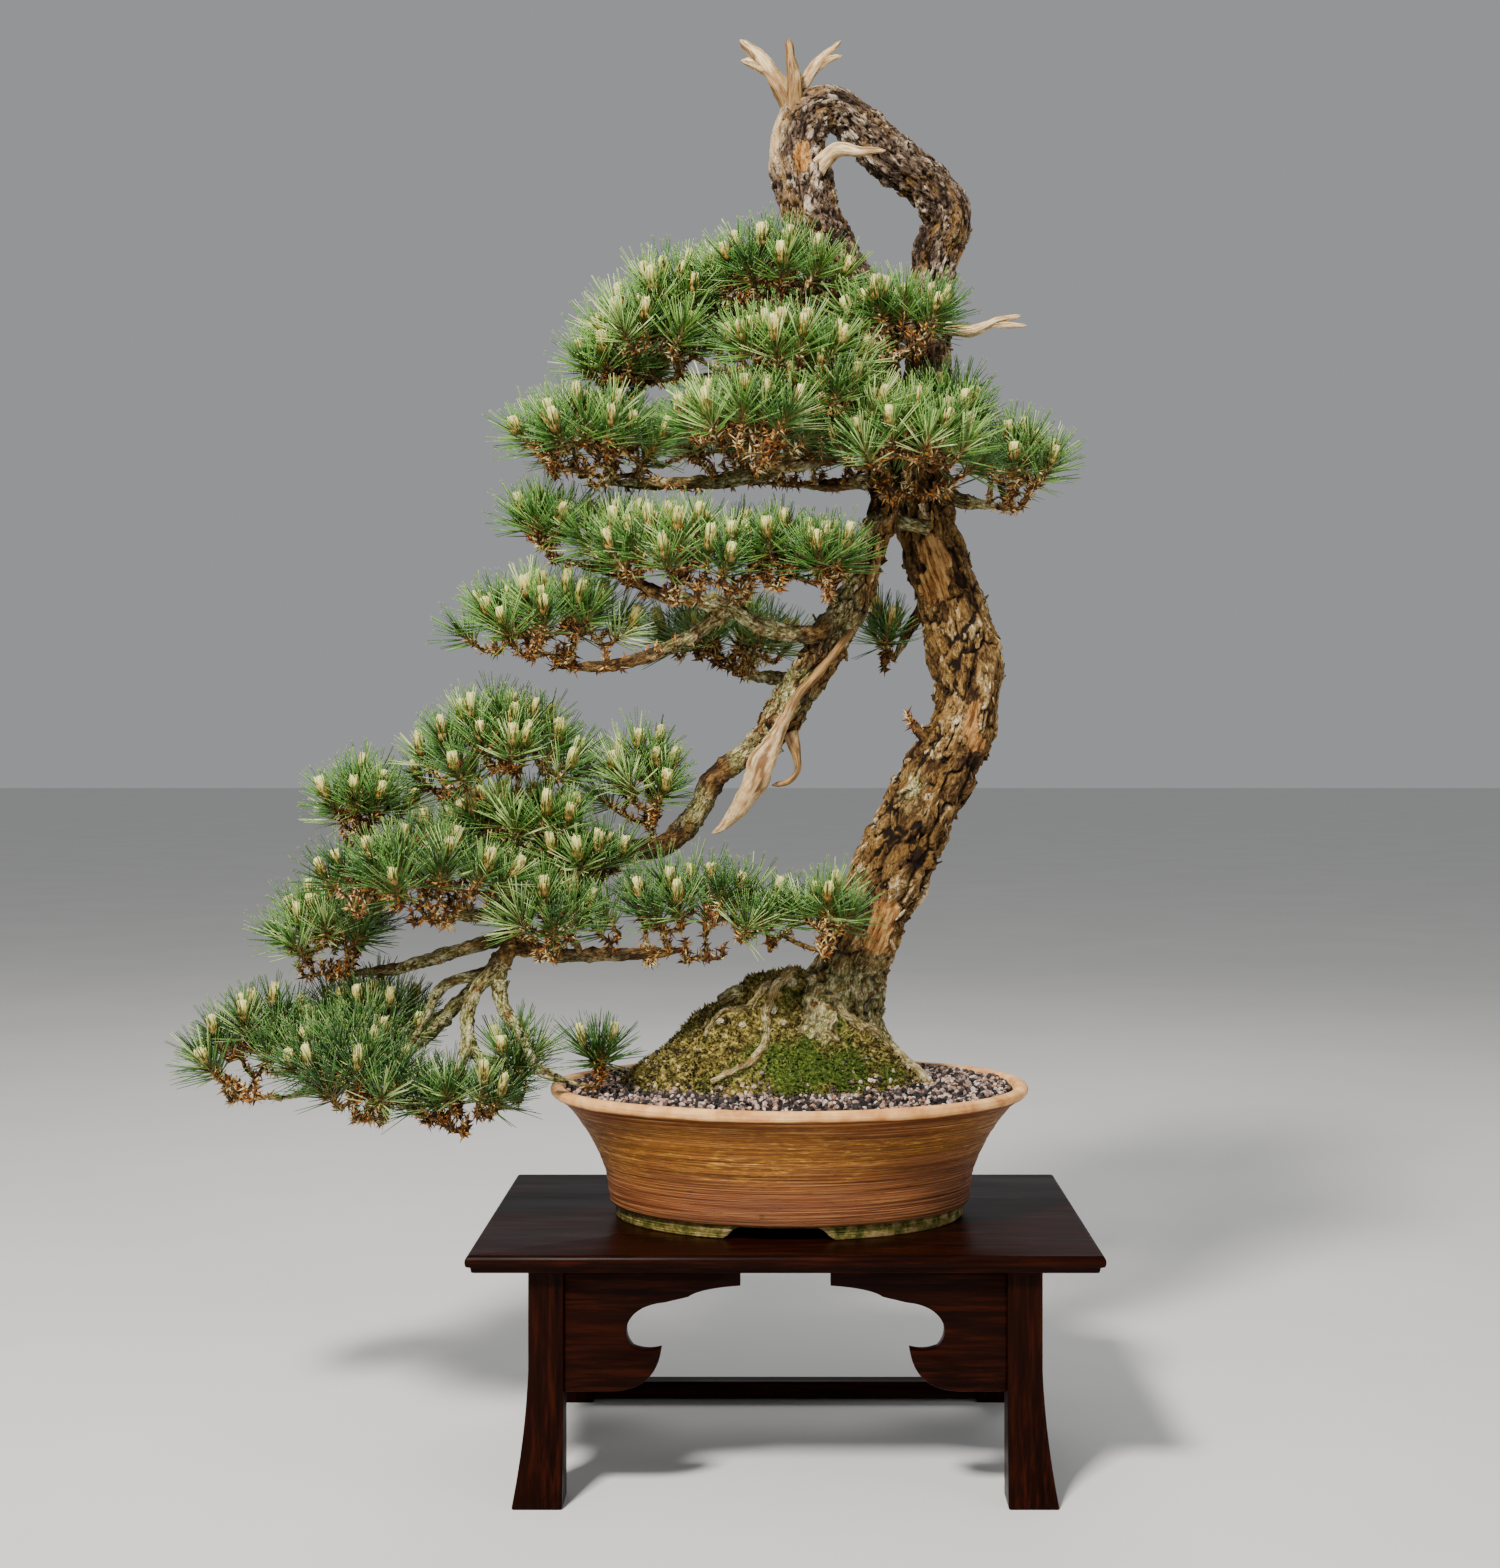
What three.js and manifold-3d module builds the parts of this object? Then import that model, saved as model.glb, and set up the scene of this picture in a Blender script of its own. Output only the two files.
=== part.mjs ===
// Japanese black pine bonsai in an oval clay pot, on a low dark wooden stand.
// Millimetres, +Z up. The front is seen looking along +Y, with +X to the right.
// Every place below is measured from the floor point under the middle of the stand;
// the last lines move the whole group so that its origin is under the middle of its box.

import * as THREE from 'three';
import { mergeVertices } from 'three/addons/utils/BufferGeometryUtils.js';
import Module from 'manifold-3d';

const wasm = await Module();
wasm.setup();

// Clearance between pieces that lie on or in one another
const seat = 0.4;

// Stand: a moulded board on four flared legs, with cusped brackets under the board
const stand = {
  height: 180,
  boardLength: 450,
  boardDepth: 294,
  boardThickness: 13,
  legInnerX: 157,
  legOuterX: 182,
  legFlareX: 11,
  legInnerY: 108,
  legOuterY: 133,
  legFlareY: 8,
  flareHeight: 95,
  bracketThickness: 12,
  bracketSetback: 4,
  railDepth: 16,
  railHeight: 14,
  railLift: 2.5,
};
const boardUnderside = stand.height - stand.boardThickness;

// Height on the board's edge, and how far the edge is set in there
const boardEdge = [
  { drop: 13, inset: 4 },
  { drop: 9, inset: 3.5 },
  { drop: 8, inset: 0.8 },
  { drop: 4.5, inset: 0 },
  { drop: 1.5, inset: 0.9 },
  { drop: 0, inset: 2.6 },
];

// Pot: an oval of one turned outline, narrower from front to back
const pot = {
  x: 3,
  depthRatio: 0.76,
  sides: 28,
  underside: 10,
  floor: 18,
  drainX: 55,
  drainRadius: 9,
  footNotchBottom: 74,
  footNotchTop: 60,
  footNotchHeight: 7,
  keepOut: 188, // needles stay outside this radius below the soil's top
};
const potZ = stand.height;

// Outlines of the pot as radius and height above the board: the outside from under the floor to the rim,
// and the inside from the rim down to the floor
const potOutside = [
  [0, pot.underside],
  [119, pot.underside],
  [119, 0],
  [133, 0],
  [133, 9],
  [137, 10],
  [141, 34],
  [152, 58],
  [163, 72],
  [174, 83],
  [180, 84],
  [183, 90],
  [182, 96],
];
const potInside = [
  [173, 97],
  [150, 70],
  [126, pot.floor],
];

// Mesh squares over the drainage holes
const drainMesh = { width: 30, thickness: 0.8, barWidth: 2 };

// Soil: it fills the pot to a little under the rim and rises to the tree
const soil = { bottom: pot.floor + 1.6, edge: 91, middle: 101, wallGap: 0.5 };

// Moss: a mound over the roots, steep against the trunk
const moss = {
  left: 146,
  right: 112,
  front: 92,
  back: 88,
  height: 96,
  slope: 1.3,
  lump: 2.4,
  sides: 16,
  rings: 3,
};

// Trunk: it rises on the right, arches over at the top and comes down through the crown.
// Each point is x, y, z and the radius there.
const trunkPath = [
  [22, 4, 244, 34],
  [28, 5, 284, 44],
  [40, 5, 334, 35.5],
  [50, 5, 370, 27],
  [64, 3, 400, 26.2],
  [78, 0, 435, 29.2],
  [94, 0, 469, 29.2],
  [112, 2, 507, 26.9],
  [128, 5, 535, 25.4],
  [138, 8, 562, 24.7],
  [140, 12, 590, 26.3],
  [135, 16, 618, 27.5],
  [129, 20, 646, 26.1],
  [119, 24, 674, 25.3],
  [111, 28, 702, 23.1],
  [107, 33, 738, 22],
  [107, 38, 786, 20.4],
  [112, 38, 833, 18.9],
  [114, 34, 885, 17.3],
  [120, 30, 926, 19.6],
  [125, 28, 945, 18.4],
  [121, 26, 962, 19.5],
  [105, 22, 980, 18.7],
  [80, 16, 996, 18.6],
  [59, 10, 1015, 18.2],
  [40, 5, 1028, 17.7],
  [20, 0, 1024, 18.4],
  [10, -4, 1006, 20.7],
  [10, -6, 986, 22.6],
  [13, -8, 970, 24.5],
  [16, -10, 952, 23.7],
  [23, -11, 934, 22.1],
  [32, -12, 916, 20.6],
  [46, -13, 897, 19.1],
  [63, -14, 862, 17.5],
  [72, -15, 816, 16.8],
  [76, -17, 770, 15.2],
  [76, -19, 724, 13.7],
  [70, -21, 697, 12.1],
  [59, -24, 670, 11.7],
  [48, -27, 643, 13.6],
  [32, -30, 615, 12.8],
  [16, -33, 588, 12.8],
  [0, -35, 562, 12.8],
  [-18, -36, 538, 11],
];

// Roots that spread from the trunk's foot and run into the soil
const roots = [
  [[12, 4, 335, 33], [-22, 4, 317, 28], [-62, 6, 299, 20], [-98, 8, 284, 13], [-130, 10, 268, 6]],
  [[30, -14, 330, 26], [22, -38, 306, 17], [14, -58, 286, 10], [10, -76, 264, 5]],
  [[46, 4, 328, 18], [74, 2, 306, 11], [98, 0, 292, 8], [126, -2, 270, 5]],
  [[36, 20, 326, 24], [42, 48, 302, 15], [50, 78, 266, 6]],
  [[16, -10, 352, 10], [-12, -28, 326, 9], [-30, -50, 292, 7], [-38, -62, 266, 5]],
];

// Living limbs, each from inside the trunk or an earlier limb to the pads that it carries
const limbs = {
  crownTop: [[55, -13, 881, 6], [19, -26, 862, 5], [-6, -32, 856, 4]],
  crownLeft: [
    [61, -14, 860, 7], [26, -24, 832, 6], [-19, -32, 818, 5], [-64, -38, 813, 4], [-94, -37, 812, 3.4],
  ],
  crownFront: [[69, -15, 828, 6.5], [48, -46, 806, 5.2], [12, -86, 794, 3.8]],
  crownBack: [[107, 38, 806, 7], [80, 70, 826, 6], [42, 90, 836, 5], [12, 95, 838, 4]],
  skirtLeft: [
    [72, -15, 802, 7.5], [26, -28, 762, 6.5], [-27, -38, 740, 5.6], [-84, -42, 734, 4.6],
    [-138, -40, 735, 3.6],
  ],
  skirtFront: [[76, -17, 786, 6.5], [44, -50, 757, 5.4], [4, -82, 742, 4.4], [-20, -92, 740, 3.6]],
  skirtRight: [[76, -17, 756, 7], [84, -50, 730, 5.8], [87, -72, 720, 4.4]],
  skirtFarRight: [[107, 34, 748, 7], [134, 8, 728, 5.8], [162, -16, 720, 4.2]],
  skirtBack: [[107, 35, 764, 7], [74, 78, 752, 6], [34, 102, 751, 5], [4, 109, 752, 4]],
  middleLong: [
    [50, -26, 648, 8], [22, -38, 622, 6.6], [-15, -50, 626, 6], [-40, -58, 640, 5.6],
    [-64, -66, 644, 5], [-92, -60, 650, 4.6], [-130, -46, 668, 4.2], [-172, -32, 678, 3.4],
  ],
  middleFront: [[74, -19, 716, 6], [46, -56, 676, 4.8], [32, -78, 648, 3.8]],
  middleLow: [[-42, -58, 638, 5.4], [-84, -54, 612, 5], [-128, -46, 598, 4.4], [-170, -41, 597, 3.6]],
  middleBack: [[14, -33, 584, 6.4], [0, -4, 588, 5.4], [-20, 28, 592, 4.6], [-40, 46, 594, 3.8]],
  lowRight: [[119, 26, 668, 6], [104, 34, 640, 4.8], [84, 36, 604, 3.6]],
  fall: [
    [-10, -36, 546, 10.5], [-36, -36, 527, 8.6], [-54, -35, 512, 8.2], [-67, -33, 488, 8],
    [-89, -30, 465, 8.3], [-118, -26, 459, 8.3], [-147, -24, 462, 8.3], [-174, -26, 445, 7.8],
    [-193, -30, 421, 7.2], [-204, -36, 395, 6.8], [-212, -40, 376, 6.4], [-214, -40, 352, 5.6],
  ],
  fallUpper: [[-150, -24, 461, 7], [-168, -26, 480, 6.3], [-186, -29, 494, 5.4], [-208, -30, 494, 4]],
  fallShoulder: [[-186, -29, 490, 5.6], [-226, -40, 478, 5], [-272, -34, 466, 4.4], [-310, -22, 463, 3.6]],
  fallMiddle: [[-196, -31, 415, 6], [-224, -48, 412, 5], [-258, -70, 410, 4]],
  fallLeft: [[-204, -36, 395, 6], [-244, -26, 384, 5.2], [-296, -14, 368, 4.4], [-338, -10, 363, 3.6]],
  fallArm: [
    [-206, -37, 390, 6], [-176, -50, 378, 5.2], [-137, -62, 376, 4.8], [-100, -68, 378, 4.4],
    [-72, -70, 380, 3.8],
  ],
  fallBack: [[-147, -24, 462, 7], [-172, 16, 434, 6], [-206, 50, 408, 5], [-242, 68, 402, 4]],
  bottomFront: [[-212, -40, 372, 6], [-238, -52, 340, 5.2], [-250, -64, 308, 4.6], [-262, -72, 284, 3.8]],
  bottomLeft: [
    [-212, -40, 376, 6], [-238, -34, 352, 5.4], [-262, -30, 330, 5], [-300, -26, 303, 4.6],
    [-342, -22, 282, 4.2], [-382, -20, 270, 3.6],
  ],
  bottomTop: [[-258, -30, 333, 5], [-284, -16, 308, 4.4], [-310, -2, 297, 3.6]],
  bottomRight: [[-214, -40, 358, 5.8], [-217, -38, 330, 5], [-221, -36, 302, 4.4], [-219, -37, 280, 3.6]],
  rim: [[-218, -37, 322, 4.8], [-197, -52, 304, 4.2], [-172, -60, 290, 3.6], [-150, -61, 286, 3]],
};

// Limbs over this radius are rounder
const thickLimb = 7.2;

// Deadwood: bare pale spikes and stubs that grew with the trunk
const deadwood = [
  [[6, 0, 1026, 8], [-6, 0, 1049, 6.4], [-18, 0, 1065, 5.4], [-35, 0, 1080, 3]],
  [[-14, 0, 1058, 4.6], [-24, 3, 1063, 3.6], [-34, 5, 1066, 1.8]],
  [[7, -8, 1016, 8], [6, -10, 1052, 5], [2, -12, 1076, 2.6]],
  [[6, 2, 1036, 6.4], [26, 8, 1066, 4.2], [43, 10, 1083, 1.8]],
  [[22, 7, 1060, 3.8], [34, 8, 1068, 2.6], [44, 9, 1071, 1.6]],
  [[18, -18, 968, 8], [31, -27, 982, 6], [40, -32, 987, 5.2], [56, -39, 984, 3.4], [75, -44, 983, 1.6]],
  [[112, 34, 868, 6], [146, 20, 861, 4.4], [164, 12, 867, 3.4], [182, 8, 870, 1.6]],
  [[158, 14, 865, 3], [172, 10, 863, 2.4], [186, 6, 862, 1.4]],
  [[0, -38, 554, 10], [-20, -44, 524, 10.5], [-30, -46, 500, 7], [-42, -47, 484, 4], [-56, -48, 472, 1.4]],
  [[4, -36, 546, 6], [10, -38, 521, 4.2], [3, -40, 507, 3.6], [-12, -42, 509, 2]],
  [[110, 8, 706, 5], [86, 2, 712, 4.2], [80, -2, 726, 2.6]],
];

// Foliage pads: the middle of the flat underside, how far the needles reach from it, and the dome's rise
const pads = {
  crown_top: { centre: [-8, -30, 867], reach: [72, 70], rise: 49 },
  crown_shoulder_left: { centre: [-102, -35, 824], reach: [60, 65], rise: 34 },
  crown_shoulder_right: { centre: [86, -46, 838], reach: [56, 56], rise: 30 },
  crown_front: { centre: [3, -95, 806], reach: [65, 45], rise: 29 },
  crown_back: { centre: [4, 95, 850], reach: [106, 60], rise: 57 },
  skirt_left: { centre: [-147, -40, 748], reach: [71, 75], rise: 37 },
  skirt_front: { centre: [-29, -95, 752], reach: [69, 55], rise: 36 },
  skirt_right: { centre: [87, -80, 732], reach: [69, 60], rise: 52 },
  skirt_far_right: { centre: [170, -20, 732], reach: [49, 60], rise: 34 },
  skirt_back: { centre: [-5, 110, 764], reach: [131, 60], rise: 41 },
  middle_left: { centre: [-181, -30, 689], reach: [42, 45], rise: 23 },
  middle_front: { centre: [-70, -70, 656], reach: [85, 55], rise: 40 },
  middle_right: { centre: [29, -85, 658], reach: [36, 35], rise: 22 },
  low_left: { centre: [-180, -40, 609], reach: [79, 60], rise: 41 },
  low_back: { centre: [-48, 50, 606], reach: [71, 55], rise: 28 },
  low_right: { centre: [78, 35, 609], reach: [28, 30], rise: 27 },
  fall_top: { centre: [-215, -30, 504], reach: [79, 75], rise: 57 },
  fall_top_right: { centre: [-110, -20, 485], reach: [46, 50], rise: 49 },
  fall_shoulder: { centre: [-319, -20, 474], reach: [46, 60], rise: 38 },
  fall_middle: { centre: [-268, -75, 421], reach: [88, 55], rise: 40 },
  fall_left: { centre: [-348, -10, 374], reach: [57, 65], rise: 46 },
  fall_arm: { centre: [-63, -70, 391], reach: [103, 40], rise: 44 },
  fall_back: { centre: [-253, 70, 414], reach: [104, 50], rise: 64 },
  bottom_left: { centre: [-391, -20, 280], reach: [68, 55], rise: 53 },
  bottom_front: { centre: [-282, -80, 271], reach: [88, 45], rise: 37 },
  bottom_top: { centre: [-319, 0, 308], reach: [61, 60], rise: 35 },
  bottom_right: { centre: [-203, -40, 283], reach: [34, 40], rise: 34 },
  rim_tuft: { centre: [-137, -60, 294], reach: [28, 28], rise: 19 },
};

// Shoots and needles
const shoot = {
  area: 3100, // pad area for each shoot
  edge: 22, // the outermost shoot stands this far inside the needles' reach
  lift: 6, // the outermost shoot's base stands this far over the pad's underside
  crownDrop: 10, // and the top one this far under the dome
  uprightTilt: 10,
  rimTilt: 66,
  sides: 3,
  twist: THREE.MathUtils.degToRad(80), // each ring is turned this much from the one below
  stemRadius: 1.8,
  budRadius: 2.4,
  budLength: 12,
  bandHeight: 3,
};
const needle = { length: 28, spread: 3, baseRadius: 1.9, tilts: [78, 54, 28], wobble: 6 };
// Turns that a needle may take to be clear: degrees sideways, degrees of lean, and its share of the length
const needleTurns = [
  [0, 0, 1],
  [9, 0, 1],
  [-9, 0, 1],
  [0, -10, 1],
  [0, 8, 1],
  [20, 0, 1],
  [-20, 0, 1],
  [9, -10, 0.85],
  [-9, -10, 0.85],
  [0, 0, 0.7],
];
const hub = { lift: 4, knotRadius: 5.4, twigRadius: 3 };
const rodLength = 12;
const goldenAngle = Math.PI * (3 - Math.sqrt(5));
const sideSteps = [0, 0.25, -0.25, 0.5, -0.5];
const needleSeed = 5;

// Solids and geometries

function toSolid(geometry) {
  const bare = geometry.index ? geometry.clone() : geometry;
  bare.deleteAttribute('normal');
  bare.deleteAttribute('uv');
  const merged = mergeVertices(bare, 1e-4);
  return new wasm.Manifold(new wasm.Mesh({
    numProp: 3,
    vertProperties: new Float32Array(merged.attributes.position.array),
    triVerts: new Uint32Array(merged.index.array),
  }));
}

function toGeometry(solid) {
  const mesh = solid.getMesh();
  const geometry = new THREE.BufferGeometry();
  geometry.setAttribute('position', new THREE.BufferAttribute(new Float32Array(mesh.vertProperties), 3));
  geometry.setIndex(new THREE.BufferAttribute(new Uint32Array(mesh.triVerts), 1));
  return geometry;
}

function joined(solids) {
  return solids.reduce((whole, solid) => whole.add(solid));
}

function largestBody(solid) {
  return solid.decompose().reduce((best, body) => (body.volume() > best.volume() ? body : best));
}

// Stems and trunks

function curveOf(path) {
  return new THREE.CatmullRomCurve3(path.map(([x, y, z]) => new THREE.Vector3(x, y, z)), false, 'centripetal');
}

// Radius of a path at a share of its length, between the radii at its points
function radiusAt(path, curve, share) {
  const place = curve.getUtoTmapping(share) * (path.length - 1);
  const before = Math.min(Math.floor(place), path.length - 2);
  return THREE.MathUtils.lerp(path[before][3], path[before + 1][3], place - before);
}

// A cylinder bent along a smooth curve through the path's points; relief raises its surface
function tube(path, { sides, spacing, grow = 0, relief = () => 0 }) {
  const curve = curveOf(path);
  const length = curve.getLength();
  const rings = Math.max(2, Math.round(length / spacing));
  const frames = curve.computeFrenetFrames(rings, false);
  const geometry = new THREE.CylinderGeometry(1, 1, 1, sides, rings);
  const position = geometry.attributes.position;
  const vertex = new THREE.Vector3();
  for (let i = 0; i < position.count; i += 1) {
    vertex.fromBufferAttribute(position, i);
    const ring = Math.round((vertex.y + 0.5) * rings);
    const across = Math.hypot(vertex.x, vertex.z);
    const angle = Math.atan2(vertex.z, vertex.x);
    const radius = radiusAt(path, curve, ring / rings);
    const bumped = across * (radius * (1 + relief(angle, ring / rings * length)) + grow);
    const centre = curve.getPointAt(ring / rings);
    if (ring === 0) centre.addScaledVector(frames.tangents[0], -grow);
    if (ring === rings) centre.addScaledVector(frames.tangents[rings], grow);
    centre.addScaledVector(frames.normals[ring], bumped * Math.cos(angle));
    centre.addScaledVector(frames.binormals[ring], -bumped * Math.sin(angle));
    position.setXYZ(i, centre.x, centre.y, centre.z);
  }
  return toSolid(geometry);
}

// Bark: long ridges that wander, crossed by plates
function bark(angle, along) {
  const ridges = 0.05 * Math.sin(3 * angle + along / 47) + 0.035 * Math.sin(5 * angle - along / 31);
  const plates = 0.03 * Math.sin(along / 9 + 2 * angle);
  return ridges + plates;
}

function tree(grow) {
  const trunk = tube(trunkPath, { sides: 9, spacing: 26, grow, relief: bark });
  const rootSolids = roots.map((path) => tube(path, { sides: 6, spacing: 30, grow }));
  const limbSolids = Object.values(limbs).map((path) => {
    const sides = path[0][3] > thickLimb ? 6 : 4;
    return tube(path, { sides, spacing: 44, grow });
  });
  const deadSolids = deadwood.map((path) => tube(path, { sides: 4, spacing: 34, grow }));
  return joined([trunk, ...rootSolids, ...limbSolids, ...deadSolids]);
}

// Stand

// A block whose four edges follow a list of insets, mitred at the corners
function mouldedBoard(length, depth, top, edge) {
  const profile = edge.map(({ drop, inset }) => new THREE.Vector2(1 - inset / 1000, top - drop));
  profile.unshift(new THREE.Vector2(0, top - edge[0].drop));
  profile.push(new THREE.Vector2(0, top));
  const geometry = new THREE.LatheGeometry(profile, 4, Math.PI / 4);
  const position = geometry.attributes.position;
  for (let i = 0; i < position.count; i += 1) {
    const radius = Math.hypot(position.getX(i), position.getZ(i));
    const inset = (1 - radius) * 1000;
    const x = radius < 0.5 ? 0 : Math.sign(position.getX(i)) * (length / 2 - inset);
    const y = radius < 0.5 ? 0 : -Math.sign(position.getZ(i)) * (depth / 2 - inset);
    position.setXYZ(i, x, y, position.getY(i));
  }
  return geometry;
}

// The outline of a leg seen from one side, standing on its inner edge at 0
function flaredOutline(width, flare) {
  const outline = new THREE.Shape();
  outline.moveTo(0, 0);
  outline.lineTo(width + flare, 0);
  outline.quadraticCurveTo(width + 1, stand.flareHeight / 3, width, stand.flareHeight);
  outline.lineTo(width, boardUnderside);
  outline.lineTo(0, boardUnderside);
  outline.closePath();
  return outline;
}

// The leg at the right back; the others are its mirror images
function legSolid() {
  const wide = 60;
  const fromFront = new THREE.ExtrudeGeometry(
    flaredOutline(stand.legOuterX - stand.legInnerX, stand.legFlareX),
    { depth: wide, bevelEnabled: false, curveSegments: 5 },
  );
  fromFront.rotateX(Math.PI / 2).translate(stand.legInnerX, stand.legInnerY + wide, 0);
  const fromSide = new THREE.ExtrudeGeometry(
    flaredOutline(stand.legOuterY - stand.legInnerY, stand.legFlareY),
    { depth: wide, bevelEnabled: false, curveSegments: 5 },
  );
  fromSide.rotateX(Math.PI / 2).rotateZ(Math.PI / 2).translate(stand.legInnerX, stand.legInnerY, 0);
  return toSolid(fromFront).intersect(toSolid(fromSide));
}

// Half of the cusped apron: along the board from the leg's face, and down from the board
function bracketCurve(outline) {
  outline.lineTo(125, -12);
  outline.quadraticCurveTo(96, -14, 88, -20);
  outline.lineTo(71, -24);
  outline.bezierCurveTo(46, -26, 38, -44, 49, -56);
  outline.quadraticCurveTo(59, -60, 69, -57);
  outline.bezierCurveTo(66, -80, 50, -87, 32, -87);
  outline.lineTo(0, -87);
}

function frontBracket() {
  const outline = new THREE.Shape();
  outline.moveTo(0, 0);
  outline.lineTo(125, 0);
  bracketCurve(outline);
  outline.closePath();
  const geometry = new THREE.ExtrudeGeometry(
    outline,
    { depth: stand.bracketThickness, bevelEnabled: false, curveSegments: 3 },
  );
  geometry.rotateX(Math.PI / 2);
  return geometry;
}

// A side apron runs from leg to leg and has a cusp at each end
function sideApron() {
  const span = 2 * stand.legInnerY;
  const bracket = toSolid(frontBracket());
  const middle = new THREE.BoxGeometry(60, stand.bracketThickness, 12);
  middle.translate(span / 2, -stand.bracketThickness / 2, -6);
  const farEnd = bracket.scale([0.76, 1, 0.9]).mirror([1, 0, 0]).translate([span, 0, 0]);
  return toGeometry(bracket.scale([0.76, 1, 0.9]).add(farEnd).add(toSolid(middle)));
}

function rail() {
  const chamfer = 2;
  const outline = new THREE.Shape();
  outline.moveTo(0, 0);
  outline.lineTo(stand.railDepth, 0);
  outline.lineTo(stand.railDepth, stand.railHeight);
  outline.lineTo(chamfer, stand.railHeight);
  outline.lineTo(0, stand.railHeight - chamfer);
  outline.closePath();
  const geometry = new THREE.ExtrudeGeometry(outline, { depth: 2 * stand.legInnerX, bevelEnabled: false });
  geometry.rotateX(Math.PI / 2).rotateZ(Math.PI / 2).translate(-stand.legInnerX, 0, 0);
  return geometry;
}

// Pot, drain mesh and soil

function turned(outline, sides) {
  const profile = outline.map(([radius, height]) => new THREE.Vector2(radius, height));
  const geometry = new THREE.LatheGeometry(profile, sides);
  geometry.rotateX(Math.PI / 2).scale(1, pot.depthRatio, 1);
  return geometry;
}

function potSolid() {
  const notch = new THREE.Shape();
  notch.moveTo(-pot.footNotchBottom / 2, -1);
  notch.lineTo(pot.footNotchBottom / 2, -1);
  notch.lineTo(pot.footNotchTop / 2, pot.footNotchHeight);
  notch.lineTo(-pot.footNotchTop / 2, pot.footNotchHeight);
  notch.closePath();
  const notches = new THREE.ExtrudeGeometry(notch, { depth: 300, bevelEnabled: false });
  notches.rotateX(Math.PI / 2).translate(0, 150, 0);
  const outline = [...potOutside, ...potInside, [0, pot.floor]];
  let solid = toSolid(turned(outline, pot.sides)).subtract(toSolid(notches));
  for (const side of [-1, 1]) {
    const drain = new THREE.CylinderGeometry(pot.drainRadius, pot.drainRadius, 20, 10);
    drain.rotateX(Math.PI / 2).translate(side * pot.drainX, 0, pot.floor - 4);
    solid = solid.subtract(toSolid(drain));
  }
  return solid;
}

function drainMeshGeometry() {
  const { width, thickness, barWidth } = drainMesh;
  const opening = (width - 3 * barWidth) / 2;
  const offset = (opening + barWidth) / 2;
  const plate = new THREE.BoxGeometry(width, width, thickness).translate(0, 0, thickness / 2);
  let solid = toSolid(plate);
  for (const [x, y] of [[-offset, -offset], [offset, -offset], [-offset, offset], [offset, offset]]) {
    solid = solid.subtract(toSolid(new THREE.BoxGeometry(opening, opening, 4).translate(x, y, 0)));
  }
  return toGeometry(solid);
}

// Radius of the pot's inside at a height
function insideRadius(height) {
  const upper = height > potInside[1][1] ? 0 : 1;
  const [[topRadius, topHeight], [lowRadius, lowHeight]] = potInside.slice(upper, upper + 2);
  return THREE.MathUtils.mapLinear(height, lowHeight, topHeight, lowRadius, topRadius);
}

// The soil follows the pot's inside and rises to the tree; lift raises its top
function soilOutline(lift) {
  const wall = [soil.bottom, potInside[1][1], soil.edge + lift];
  const side = wall.map((height) => [insideRadius(height) - soil.wallGap, height]);
  return [
    [0, soil.bottom],
    ...side,
    [100, soil.edge + 5 + lift],
    [0, soil.middle + lift],
  ];
}

function soilBlock(lift) {
  const geometry = turned(soilOutline(lift), pot.sides);
  geometry.translate(pot.x, 0, potZ);
  return toSolid(geometry);
}

// Height of the moss mound's top over a place on the soil
function mossTop(x, y) {
  const across = x < 0 ? x / moss.left : x / moss.right;
  const along = y < 0 ? y / moss.front : y / moss.back;
  const ratio = Math.min(1, Math.hypot(across, along));
  const lumps = moss.lump * Math.sin(x / 9) * Math.cos(y / 8 + x / 21) * (1 - ratio * ratio);
  return potZ + soil.edge + 2 + moss.height * (1 - ratio ** moss.slope) + lumps;
}

function mossSolid(grownTree) {
  const profile = [new THREE.Vector2(0, 0), new THREE.Vector2(1, 0)];
  for (let ring = 0; ring < moss.rings; ring += 1) profile.push(new THREE.Vector2(1 - ring / moss.rings, 1));
  profile.push(new THREE.Vector2(0, 1));
  const geometry = new THREE.LatheGeometry(profile, moss.sides);
  const position = geometry.attributes.position;
  const sunk = potZ + soil.edge - 20;
  for (let i = 0; i < position.count; i += 1) {
    const unitX = position.getX(i);
    const unitY = -position.getZ(i);
    const x = unitX * (unitX < 0 ? moss.left : moss.right);
    const y = unitY * (unitY < 0 ? moss.front : moss.back);
    position.setXYZ(i, x, y, position.getY(i) > 0.5 ? mossTop(x, y) : sunk);
  }
  return largestBody(toSolid(geometry).subtract(soilBlock(seat)).subtract(grownTree));
}

// Foliage

function randomSource(seed) {
  let state = seed;
  return () => {
    state = (state + 0x6d2b79f5) | 0;
    let mixed = Math.imul(state ^ (state >>> 15), 1 | state);
    mixed = (mixed + Math.imul(mixed ^ (mixed >>> 7), 61 | mixed)) ^ mixed;
    return ((mixed ^ (mixed >>> 14)) >>> 0) / 4294967296;
  };
}
const random = randomSource(needleSeed);

// A rod is a straight stretch of wood or a needle: two ends, the radius at each, and what it belongs to
const rods = [];

function addRods(path, spacing, owner) {
  const curve = curveOf(path);
  const steps = Math.max(1, Math.round(curve.getLength() / spacing));
  for (let i = 0; i < steps; i += 1) {
    rods.push({
      from: curve.getPointAt(i / steps),
      to: curve.getPointAt((i + 1) / steps),
      fromRadius: radiusAt(path, curve, i / steps),
      toRadius: radiusAt(path, curve, (i + 1) / steps),
      owner,
    });
  }
}

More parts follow.
